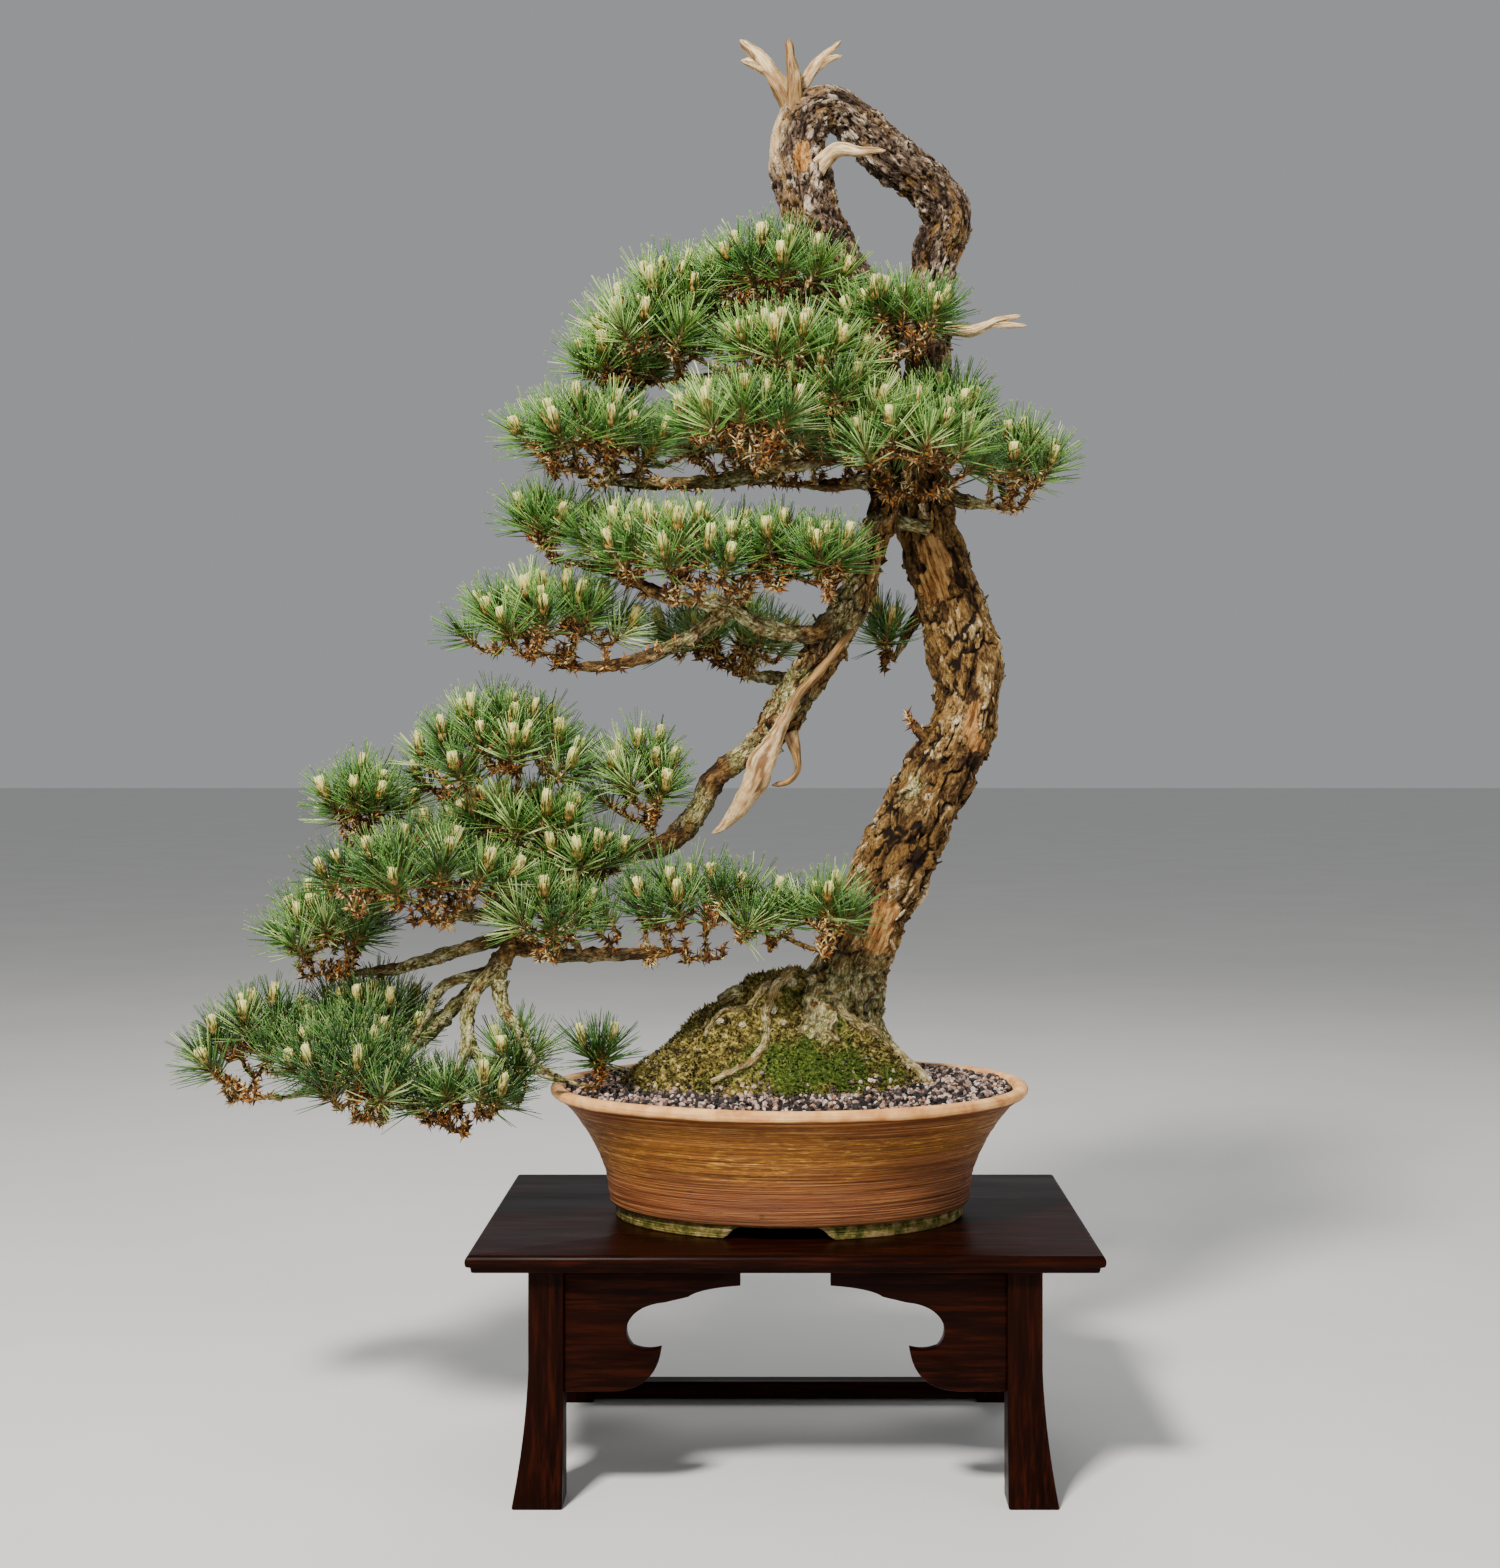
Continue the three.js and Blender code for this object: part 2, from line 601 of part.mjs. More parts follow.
// Room left between two rods' surfaces where they pass closest
function room(a, b) {
  const u = new THREE.Vector3().subVectors(a.to, a.from);
  const v = new THREE.Vector3().subVectors(b.to, b.from);
  const w = new THREE.Vector3().subVectors(a.from, b.from);
  const uu = u.dot(u);
  const uv = u.dot(v);
  const vv = v.dot(v);
  const uw = u.dot(w);
  const vw = v.dot(w);
  const spread = uu * vv - uv * uv;
  let s = spread > 1e-9 ? THREE.MathUtils.clamp((uv * vw - vv * uw) / spread, 0, 1) : 0;
  const t = THREE.MathUtils.clamp((uv * s + vw) / vv, 0, 1);
  s = THREE.MathUtils.clamp((uv * t - uw) / uu, 0, 1);
  const gap = w.addScaledVector(u, s).addScaledVector(v, -t).length();
  const radiusA = THREE.MathUtils.lerp(a.fromRadius, a.toRadius, s);
  const radiusB = THREE.MathUtils.lerp(b.fromRadius, b.toRadius, t);
  return gap - radiusA - radiusB;
}

// Whether a place lies in or on the pot, the soil or the moss
function inGround(point) {
  const across = (point.x - pot.x) / pot.keepOut;
  const along = point.y / (pot.keepOut * pot.depthRatio);
  if (across * across + along * along > 1) return false;
  return point.z < Math.max(potZ + soil.middle, mossTop(point.x, point.y) + 5);
}

function isClear(rod, clearance, skip) {
  const middle = new THREE.Vector3().addVectors(rod.from, rod.to).multiplyScalar(0.5);
  if (inGround(rod.to) || inGround(middle)) return false;
  return !rods.some((other) => !skip(other) && room(rod, other) < clearance);
}

// Cross-sections along a shoot: its two ends on the stem, then one above each band of needles
function shootRings({ start, base, axis }) {
  const heights = needle.tilts.map((_, band) => (band + 1) * shoot.bandHeight);
  const centres = [start, base, ...heights.map((height) => base.clone().addScaledVector(axis, height))];
  let side = new THREE.Vector3(axis.z, axis.x, axis.y);
  return centres.map((centre, ring) => {
    const along = ring === 0 ? new THREE.Vector3().subVectors(base, start).normalize() : axis;
    side = side.clone().addScaledVector(along, -side.dot(along)).normalize();
    const other = new THREE.Vector3().crossVectors(along, side);
    const radius = ring === centres.length - 1 ? shoot.budRadius : shoot.stemRadius;
    const corners = [];
    for (let corner = 0; corner < shoot.sides; corner += 1) {
      const angle = corner / shoot.sides * 2 * Math.PI + ring * shoot.twist;
      corners.push(centre.clone()
        .addScaledVector(side, radius * Math.cos(angle))
        .addScaledVector(other, radius * Math.sin(angle)));
    }
    return corners;
  });
}

// The facets between two rings, each as its three corners, facing out
function facetsBetween(lower, upper) {
  return lower.flatMap((corner, i) => {
    const next = (i + 1) % lower.length;
    return [[corner, lower[next], upper[i]], [lower[next], upper[next], upper[i]]];
  });
}

// The three sides of a needle over its facet
function needleSides([a, b, c], tip) {
  return [[a, b, tip], [b, c, tip], [c, a, tip]];
}

// Whether a straight edge passes through a triangle that it shares no corner with
function pierces([from, to], triangle) {
  if (triangle.includes(from) || triangle.includes(to)) return false;
  const ray = new THREE.Ray(from, new THREE.Vector3().subVectors(to, from).normalize());
  const hit = ray.intersectTriangle(...triangle, false, new THREE.Vector3());
  return hit !== null && hit.distanceTo(from) <= to.distanceTo(from);
}

// Whether a needle from a facet to a tip crosses the rest of its own shoot's skin
function crossesSkin(facet, tip, skin) {
  const ownEdges = facet.map((corner) => [corner, tip]);
  const ownSides = needleSides(facet, tip);
  return skin.some((triangle) => {
    if (triangle === facet) return false;
    const edges = triangle.map((corner, i) => [corner, triangle[(i + 1) % 3]]);
    return ownEdges.some((edge) => pierces(edge, triangle))
      || edges.some((edge) => ownSides.some((side) => pierces(edge, side)));
  });
}

// Tries a needle from a facet, turned and shortened until it is clear of everything else
function needleFrom(facet, axis, tilt, length, owner, skin) {
  const from = new THREE.Vector3().add(facet[0]).add(facet[1]).add(facet[2]).divideScalar(3);
  const normal = new THREE.Vector3()
    .crossVectors(facet[1].clone().sub(facet[0]), facet[2].clone().sub(facet[0]));
  const outward = normal.addScaledVector(axis, -normal.dot(axis)).normalize();
  const aside = new THREE.Vector3().crossVectors(axis, outward);
  for (const [twist, lean, share] of needleTurns) {
    const polar = THREE.MathUtils.degToRad(tilt + lean);
    const sideways = THREE.MathUtils.degToRad(twist);
    const direction = axis.clone().multiplyScalar(Math.cos(polar))
      .addScaledVector(outward, Math.sin(polar) * Math.cos(sideways))
      .addScaledVector(aside, Math.sin(polar) * Math.sin(sideways));
    const to = from.clone().addScaledVector(direction, length * share);
    const rod = { from, to, fromRadius: needle.baseRadius, toRadius: 0, owner };
    if (crossesSkin(facet, to, skin)) continue;
    if (isClear(rod, seat, (other) => other.owner.shoot === owner.shoot)) {
      rods.push(rod);
      return to;
    }
  }
  return null;
}

// A shoot's solid: its stem, the needles drawn out of the facets near its end, and its bud
function shootSolid(plan) {
  const rings = shootRings(plan);
  const bottom = rings[0];
  const top = rings[rings.length - 1];
  const bands = needle.tilts.map((_, band) => facetsBetween(rings[band + 1], rings[band + 2]));
  let skin = [[bottom[2], bottom[1], bottom[0]], ...facetsBetween(rings[0], rings[1]), ...bands.flat()];
  top.forEach((corner, i) => skin.push([corner, top[(i + 1) % top.length], plan.bud]));
  needle.tilts.forEach((tilt, band) => {
    for (const facet of bands[band]) {
      const lean = tilt + needle.wobble * (2 * random() - 1);
      const length = needle.length + needle.spread * (2 * random() - 1);
      const tip = needleFrom(facet, plan.axis, lean, length, plan.owner, skin);
      if (tip) skin = [...skin.filter((triangle) => triangle !== facet), ...needleSides(facet, tip)];
    }
  });
  return toSolid(new THREE.BufferGeometry().setFromPoints(skin.flat()));
}

// Places a pad's shoots over its dome in a sunflower's order, each on a stem from the pad's hub
function planPad(name) {
  const { centre: [x, y, z], reach: [reachX, reachY], rise } = pads[name];
  const middle = new THREE.Vector3(x, y, z + hub.lift);
  let attach = null;
  for (const rod of rods) {
    if (rod.owner.pad) continue;
    const distance = rod.to.distanceTo(middle);
    if (!attach || distance < attach.distance) attach = { distance, point: rod.to };
  }
  const twig = [[...attach.point.toArray(), hub.twigRadius], [...middle.toArray(), hub.twigRadius * 0.8]];
  addRods(twig, rodLength, { pad: name, shoot: `${name} twig` });
  const count = Math.max(2, Math.round(Math.PI * reachX * reachY / shoot.area));
  const plans = [];
  for (let i = 0; i < count; i += 1) {
    const ratio = Math.sqrt((i + 0.4) / (count - 0.4));
    for (const turn of sideSteps) {
      const angle = i * goldenAngle + turn + x;
      const ringX = Math.cos(angle) * ratio;
      const ringY = Math.sin(angle) * ratio;
      const base = new THREE.Vector3(
        x + ringX * (reachX - shoot.edge),
        y + ringY * (reachY - shoot.edge),
        z + shoot.lift + (rise - shoot.crownDrop) * (1 - ratio * ratio),
      );
      const tilt = THREE.MathUtils.degToRad(THREE.MathUtils.lerp(shoot.uprightTilt, shoot.rimTilt, ratio));
      const aside = Math.sin(tilt);
      const axis = new THREE.Vector3(Math.cos(angle) * aside, Math.sin(angle) * aside, Math.cos(tilt));
      const owner = { pad: name, shoot: `${name} ${i}` };
      const bud = base.clone().addScaledVector(axis, needle.tilts.length * shoot.bandHeight + shoot.budLength);
      const stretches = [
        { from: middle, to: base, fromRadius: shoot.stemRadius, toRadius: shoot.stemRadius, owner },
        { from: base, to: bud, fromRadius: shoot.budRadius, toRadius: 0.5, owner },
      ];
      if (stretches.every((rod) => isClear(rod, 1, (other) => other.owner.pad === name))) {
        rods.push(...stretches);
        const stem = new THREE.Vector3().subVectors(base, middle).normalize();
        const start = middle.clone().addScaledVector(stem, 1.5);
        plans.push({ start, base, axis, bud, owner });
        break;
      }
    }
  }
  return { middle, twig, plans };
}

function padSolid({ middle, twig, plans }, grownTree) {
  const knot = new THREE.OctahedronGeometry(hub.knotRadius);
  knot.translate(middle.x, middle.y, middle.z);
  const parts = [toSolid(knot), tube(twig, { sides: 5, spacing: 30 }), ...plans.map(shootSolid)];
  return largestBody(joined(parts).subtract(grownTree));
}

// Materials

function material(colour, roughness) {
  return new THREE.MeshStandardMaterial({ color: colour, roughness, metalness: 0 });
}
const darkWood = material(0x2a0d08, 0.25);
const clay = material(0x8f5526, 0.8);
const meshPlastic = material(0x1c2420, 0.6);
const gravel = material(0x39332f, 0.95);
const mossGreen = material(0x4d5a1c, 1);
const barkBrown = material(0x80603c, 0.9);
const needleGreen = material(0x2f6b2a, 0.55);

// Assembly

const group = new THREE.Group();

function add(name, geometry, surface) {
  const piece = new THREE.Mesh(geometry, surface);
  piece.name = name;
  group.add(piece);
  return piece;
}

function buildStand() {
  const board = mouldedBoard(stand.boardLength, stand.boardDepth, stand.height, boardEdge);
  add('stand_top', board, darkWood);
  const leg = legSolid();
  const bracket = toSolid(frontBracket());
  for (const [row, alongY] of [['front', -1], ['back', 1]]) {
    for (const [column, alongX] of [['left', -1], ['right', 1]]) {
      const mirrored = leg.scale([alongX, alongY, 1]);
      add(`stand_leg_${row}_${column}`, toGeometry(mirrored), darkWood);
      const face = stand.legOuterY - stand.bracketSetback;
      const placed = bracket
        .mirror([1, 0, 0])
        .translate([stand.legInnerX, face, boardUnderside])
        .scale([alongX, alongY, 1]);
      add(`stand_bracket_${row}_${column}`, toGeometry(placed), darkWood);
    }
  }
  const apron = toSolid(sideApron());
  const apronX = stand.legOuterX - stand.bracketSetback - stand.bracketThickness;
  for (const [column, alongX] of [['left', -1], ['right', 1]]) {
    const placed = apron
      .rotate([0, 0, 90])
      .translate([apronX, -stand.legInnerY, boardUnderside])
      .scale([alongX, 1, 1]);
    add(`stand_apron_${column}`, toGeometry(placed), darkWood);
  }
  const back = add('stand_back_rail', rail(), darkWood);
  back.position.set(0, stand.legInnerY + 2, stand.railLift);
}

function buildPot(grownTree) {
  const vessel = add('pot', toGeometry(potSolid()), clay);
  vessel.position.set(pot.x, 0, potZ);
  for (const [column, side] of [['left', -1], ['right', 1]]) {
    const screen = add(`drain_mesh_${column}`, drainMeshGeometry(), meshPlastic);
    screen.position.set(pot.x + side * pot.drainX, 0, potZ + pot.floor + 0.3);
  }
  add('soil', toGeometry(largestBody(soilBlock(0).subtract(grownTree))), gravel);
  add('moss', toGeometry(mossSolid(grownTree)), mossGreen);
}

function buildTree(grownTree) {
  add('trunk', toGeometry(tree(0)), barkBrown);
  const wood = [trunkPath, ...roots, ...Object.values(limbs), ...deadwood];
  for (const path of wood) addRods(path, rodLength, { pad: null });
  const plans = Object.keys(pads).map((name) => [name, planPad(name)]);
  for (const [name, plan] of plans) {
    add(`needles_${name}`, toGeometry(padSolid(plan, grownTree)), needleGreen);
  }
}

const grownTree = tree(seat);
buildStand();
buildPot(grownTree);
buildTree(grownTree);

// The origin goes to the floor under the middle of the whole object's box
const box = new THREE.Box3().setFromObject(group);
const middle = box.getCenter(new THREE.Vector3());
group.position.set(-Math.round(middle.x * 10) / 10, -Math.round(middle.y * 10) / 10, 0);

export default group;
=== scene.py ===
# Japanese black pine bonsai in its oval clay pot, on a dark wooden stand.
# Shapes are worked out in millimetres from the floor point under the middle of the stand.
import math

import bmesh
import bpy
import numpy as np
from mathutils import Matrix, Vector


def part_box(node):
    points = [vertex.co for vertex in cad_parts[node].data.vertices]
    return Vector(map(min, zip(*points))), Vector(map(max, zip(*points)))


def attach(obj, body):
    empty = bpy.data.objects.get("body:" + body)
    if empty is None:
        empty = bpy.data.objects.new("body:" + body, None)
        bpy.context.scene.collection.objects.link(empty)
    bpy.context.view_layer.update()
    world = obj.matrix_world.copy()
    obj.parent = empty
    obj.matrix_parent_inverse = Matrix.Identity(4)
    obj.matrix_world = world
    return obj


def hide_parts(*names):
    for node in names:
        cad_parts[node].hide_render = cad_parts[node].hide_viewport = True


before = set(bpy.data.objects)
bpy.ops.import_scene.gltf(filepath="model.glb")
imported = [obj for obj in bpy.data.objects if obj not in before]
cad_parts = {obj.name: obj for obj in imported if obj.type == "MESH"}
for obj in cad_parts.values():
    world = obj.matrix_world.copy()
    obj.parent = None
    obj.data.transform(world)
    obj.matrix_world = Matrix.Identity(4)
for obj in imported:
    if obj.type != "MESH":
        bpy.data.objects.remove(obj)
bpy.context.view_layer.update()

board_low, board_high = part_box("stand_top")
ORIGIN = np.array([(board_low.x + board_high.x) / 2, (board_low.y + board_high.y) / 2, 0.0])
MM = 0.001
TURN = 2 * math.pi
SEED = 11

# Camera, in millimetres, and how the photo is framed
CAMERA = {
    "place": (0, -1647, 533), "lens": 49.2, "sensor": 36, "shift": (-0.0226, -0.0204), "clip": (0.05, 60),
}

# Studio, in metres
LIGHTS = {  # place, target, size, power and colour
    "key": ((-0.7, -1.8, 2.3), (0, 0, 0.6), (0.4, 0.4), 140, (1, 0.97, 0.92)),
    "fill": ((1.8, -1.4, 1.1), (0, 0, 0.5), (1.4, 1.4), 8, (1, 1, 1)),
    "back": ((0.4, 1.7, 2.2), (0, 0, 0.6), (1.4, 1.0), 20, (1, 1, 1)),
}
SKY = {"colour": (0.9, 0.92, 0.95, 1), "strength": 0.35}
FLOOR_SIZE = 60

# Stand
BOARD = {"length": 450, "depth": 294, "top": 180, "thickness": 13, "corner": 1.2}
BOARD_EDGE = [  # drop from the top, inset
    (13, 5.0), (12.6, 4.2), (9.6, 3.5), (9.0, 3.2), (8.4, 1.6), (8.0, 0.8), (6.8, 0.25), (5.6, 0.0),
    (4.4, 0.0), (3.2, 0.2), (2.1, 0.7), (1.2, 1.3), (0.5, 2.0), (0.1, 2.8), (0.0, 3.8),
]
LEG = {"inner": (157, 108), "outer": (182, 133), "flare": (11, 8), "flare_height": 95, "corner": 1.6}
FOOT_EASE = {0: 0.8, 0.5: 0.25}  # height, and how far the foot's edges are eased there
APRON = {"setback": 4, "thickness": 12, "bevel": 1.0}
RAIL_SETBACK = 2
RAIL = [  # height, front and back
    (2.5, 0.8, 16), (3.3, 0, 16), (14.5, 0, 16), (15.7, 0.9, 15.6), (16.5, 2.2, 14.8),
]
ROWS = (("front", -1), ("back", 1))
COLUMNS = (("left", -1), ("right", 1))

# Pot: its outlines are radius along its length and height above the board
POT = {"x": 3, "z": 180, "depth_ratio": 0.76, "foot_radius": 134, "floor": 18, "sides": 200}
POT_MIDDLE = np.array([POT["x"], 0, POT["z"]])
POT_OUTSIDE = [
    (118, 10), (119, 9), (119, 0.8), (119.8, 0), (132.2, 0), (133, 0.8), (133, 9.2), (134, 10),
    (136.4, 10.4), (137.6, 12), (141, 35), (145.8, 47), (152, 59.4), (163, 76), (171.6, 86), (177.6, 90),
    (181, 91.6), (182.8, 93.6), (183, 96), (182, 98.4), (179.6, 99.6),
]
POT_INSIDE = [
    (175.8, 99.6), (173.8, 98.6), (172.4, 95.6), (164, 84), (150, 70), (138, 44), (128, 21), (124, 18),
]
WALL_STEP = 1.4
INSIDE_STEP = 9
FOOT_NOTCH = {"x": -5, "bottom": 80, "height": 9.2}
DRAIN = {"x": 55, "radius": 9, "middle": 14, "depth": 20, "sides": 40}

# Soil, with heights above the board, and moss, with heights above the floor
SOIL = {"edge": 97, "middle": 108, "radius": 171.3, "rings": 36, "sides": 120}
SOIL_PROFILE = [(0, SOIL["middle"]), (100, 102), (150, 98.5), (SOIL["radius"], SOIL["edge"])]
SOIL_UNDERSIDE = [(125, 19.6), (160, 80)]
GRAVEL = {"count": 4200, "radius": 1.85, "fade": 6}
MOUND = {
    "foot": 273, "left": 132, "right": 110, "front": 86, "back": 86, "height": 96, "slope": 1.3, "lump": 2.4,
    "rings": 46, "sides": 150,
}
RIDGE = {"start": (48, -32), "end": (108, -16), "rise": 8, "reach": 15}
GREEN_PLACES = [  # how green, middle and reach
    (1, (6, -66, 302), (44, 40, 22)), (0.5, (66, -60, 296), (36, 40, 20)),
    (0.7, (30, -40, 340), (20, 30, 16)),
]
TUFTS = {"count": 8400, "length": (1.6, 4.4), "radius": (0.6, 1.3)}

# Wood: each point of a path is its x, y and z and the radius there
TRUNK = [
    (22, 4, 244, 34), (28, 5, 284, 44), (40, 5, 334, 35.5), (50, 5, 370, 27), (64, 3, 400, 26.2),
    (78, 0, 435, 29.2), (94, 0, 469, 29.2), (112, 2, 507, 26.9), (128, 5, 535, 25.4), (138, 8, 562, 24.7),
    (140, 12, 590, 26.3), (135, 16, 618, 27.5), (129, 20, 646, 26.1), (119, 24, 674, 25.3),
    (111, 28, 702, 23.1), (107, 33, 738, 22), (107, 38, 786, 20.4), (112, 38, 833, 18.9),
    (114, 34, 885, 17.3), (120, 30, 926, 19.6), (125, 28, 945, 18.4), (121, 26, 962, 19.5),
    (105, 22, 980, 18.7), (80, 16, 996, 18.6), (59, 10, 1015, 18.2), (40, 5, 1028, 17.7),
    (20, 0, 1024, 18.4), (10, -4, 1006, 20.7), (10, -6, 986, 22.6), (13, -8, 970, 24.5),
    (16, -10, 952, 23.7), (23, -11, 934, 22.1), (32, -12, 916, 20.6), (46, -13, 897, 19.1),
    (63, -14, 862, 17.5), (72, -15, 816, 16.8), (76, -17, 770, 15.2), (76, -19, 724, 13.7),
    (70, -21, 697, 12.1), (59, -24, 670, 11.7), (48, -27, 643, 13.6), (32, -30, 615, 12.8),
    (16, -33, 588, 12.8), (0, -35, 562, 12.8), (-18, -36, 538, 11),
]
ROOTS = [
    [(12, 4, 335, 33), (-22, 4, 317, 28), (-62, 6, 299, 20), (-98, 8, 284, 13), (-130, 10, 268, 6)],
    [(34, -6, 352, 20), (26, -24, 330, 19), (18, -42, 308, 14), (8, -60, 286, 9), (2, -76, 264, 5)],
    [(50, 2, 336, 14), (76, -10, 306, 9), (98, -14, 284, 6), (116, -20, 262, 4)],
    [(36, 20, 326, 24), (42, 48, 302, 15), (50, 78, 266, 6)],
    [(-20, -2, 344, 12), (-40, -8, 346, 8), (-50, -12, 342, 5)],
]
THIN_ROOTS = [  # x, y and radius; they follow the moss
    [(6, -12, 5), (-6, -20, 4), (-15, -32, 3.6), (-14, -44, 3.2), (-15, -54, 3), (-24, -62, 2.8),
     (-43, -64, 2.6), (-56, -66, 1.8)],
    [(34, -10, 5), (39, -20, 4.4), (42, -36, 4.2), (60, -31, 4), (80, -18, 3.8), (98, -15, 3.6),
     (112, -22, 3.2), (124, -28, 2.4)],
    [(-12, -18, 3), (-25, -27, 2.6), (-36, -29, 2.4), (-55, -30, 2.2), (-62, -40, 1.8)],
    [(14, -34, 3.4), (22, -40, 3), (33, -46, 2.6), (45, -49, 2.2)],
    [(-40, 20, 4), (-72, 34, 3.2), (-98, 36, 2.6), (-118, 44, 2)],
    [(30, 34, 4.6), (22, 52, 3.4), (30, 68, 2.8), (24, 80, 2)],
]
KNOTS = [  # middle, height and reach of each hump
    ((88, -24, 448), 6, 12), ((92, -24, 496), 5, 12), ((120, -14, 560), 4, 10), ((30, -30, 400), 5, 14),
]
# Patches on the wood, each as its middle and its reach: smooth orange inner bark, cream, dark and lichen
BARE_PATCHES = [
    ((114, 6, 676), (10, 30, 30)), ((72, -20, 398), (9, 24, 24)), ((141, -10, 552), (9, 22, 16)),
    ((100, -14, 642), (7, 22, 9)), ((139, 20, 905), (5, 24, 22)), ((16, -28, 985), (7, 14, 12)),
]
PALE_PATCHES = [((-12, -8, 1003), (9, 30, 24))]
DARK_PATCHES = [
    ((92, -20, 476), (26, 26, 28)), ((96, -14, 540), (12, 24, 14)), ((52, -20, 412), (14, 26, 18)),
    ((142, 0, 500), (12, 30, 40)), ((46, -14, 926), (9, 20, 20)), ((60, 0, 974), (20, 30, 10)),
    ((80, -16, 724), (20, 20, 40)), ((108, 10, 930), (10, 24, 16)), ((44, -30, 620), (30, 30, 34)),
    ((4, -36, 568), (34, 30, 34)),
]
LICHEN_PATCHES = [
    ((97, -14, 505), (8, 16, 13)), ((36, -36, 640), (17, 24, 24)), ((6, -46, 580), (16, 30, 20)),
    ((-70, -40, 470), (30, 16, 24)),
]
LIMBS = [
    [(55, -13, 881, 6), (19, -26, 862, 5), (-6, -32, 856, 4)],
    [(61, -14, 860, 7), (26, -24, 832, 6), (-19, -32, 818, 5), (-64, -38, 813, 4), (-94, -37, 812, 3.4)],
    [(69, -15, 828, 6.5), (48, -46, 806, 5.2), (12, -86, 794, 3.8)],
    [(107, 38, 806, 7), (80, 70, 826, 6), (42, 90, 836, 5), (12, 95, 838, 4)],
    [(72, -15, 802, 7.5), (26, -28, 762, 6.5), (-27, -38, 740, 5.6), (-84, -42, 734, 4.6),
     (-138, -40, 735, 3.6)],
    [(76, -17, 786, 6.5), (44, -50, 757, 5.4), (4, -82, 742, 4.4), (-20, -92, 740, 3.6)],
    [(76, -17, 756, 7), (84, -50, 730, 5.8), (87, -72, 720, 4.4)],
    [(107, 34, 748, 7), (134, 8, 728, 5.8), (162, -16, 720, 4.2)],
    [(107, 35, 764, 7), (74, 78, 752, 6), (34, 102, 751, 5), (4, 109, 752, 4)],
    [(50, -26, 648, 8), (22, -38, 622, 6.6), (-15, -50, 626, 6), (-40, -58, 640, 5.6), (-64, -66, 644, 5),
     (-92, -60, 650, 4.6), (-130, -46, 668, 4.2), (-172, -32, 678, 3.4)],
    [(74, -19, 716, 6), (46, -56, 676, 4.8), (32, -78, 648, 3.8)],
    [(-42, -58, 638, 5.4), (-84, -54, 612, 5), (-128, -46, 598, 4.4), (-170, -41, 597, 3.6)],
    [(14, -33, 584, 6.4), (0, -4, 588, 5.4), (-20, 28, 592, 4.6), (-40, 46, 594, 3.8)],
    [(119, 26, 668, 6), (104, 34, 640, 4.8), (84, 36, 604, 3.6)],
    [(-10, -36, 546, 10.5), (-36, -36, 527, 8.6), (-54, -35, 512, 8.2), (-67, -33, 488, 8),
     (-89, -30, 465, 8.3), (-118, -26, 459, 8.3), (-147, -24, 462, 8.3), (-174, -26, 445, 7.8),
     (-193, -30, 421, 7.2), (-204, -36, 395, 6.8), (-212, -40, 376, 6.4), (-214, -40, 352, 5.6)],
    [(-150, -24, 461, 7), (-168, -26, 480, 6.3), (-186, -29, 494, 5.4), (-208, -30, 494, 4)],
    [(-186, -29, 490, 5.6), (-226, -40, 478, 5), (-272, -34, 466, 4.4), (-310, -22, 463, 3.6)],
    [(-196, -31, 415, 6), (-224, -48, 412, 5), (-258, -70, 410, 4)],
    [(-204, -36, 395, 6), (-244, -26, 384, 5.2), (-296, -14, 368, 4.4), (-338, -10, 363, 3.6)],
    [(-206, -37, 390, 6), (-176, -50, 383, 5.2), (-137, -62, 383, 4.8), (-100, -68, 385, 4.4),
     (-72, -70, 388, 3.8)],
    [(-147, -24, 462, 7), (-172, 16, 434, 6), (-206, 50, 408, 5), (-242, 68, 402, 4)],
    [(-212, -40, 376, 6), (-234, -46, 350, 5), (-238, -56, 312, 4.4), (-244, -66, 284, 3.6)],
    [(-222, -38, 367, 5), (-256, -42, 358, 4.2), (-268, -38, 338, 3.8), (-277, -32, 318, 3)],
    [(-212, -40, 376, 6), (-238, -34, 352, 5.4), (-262, -30, 330, 5), (-300, -26, 303, 4.6),
     (-342, -22, 282, 4.2), (-382, -20, 270, 3.6)],
    [(-258, -30, 333, 5), (-284, -16, 308, 4.4), (-310, -2, 297, 3.6)],
    [(-213, -40, 362, 5.6), (-213, -42, 347, 5), (-204, -44, 331, 4.6), (-196, -46, 320, 4.2),
     (-186, -52, 298, 3.8), (-168, -58, 291, 3.4), (-150, -61, 286, 3)],
    [(-237, -52, 318, 4.2), (-222, -50, 296, 3.8), (-210, -48, 280, 3.2)],
    [(110, 8, 706, 5), (86, 2, 712, 4.2), (80, -2, 726, 2.6)],
    [(124, 2, 538, 8), (110, -4, 543, 7), (101, -8, 550, 6), (97, -9, 558, 4)],
]
BROWN_DEADWOOD = [
    ((4, -11, 1046), (12, 14, 44)), ((-8, 0, 1034), (16, 16, 12)), ((34, -40, 600), (44, 40, 48)),
    ((6, -40, 520), (9, 12, 22)),
]
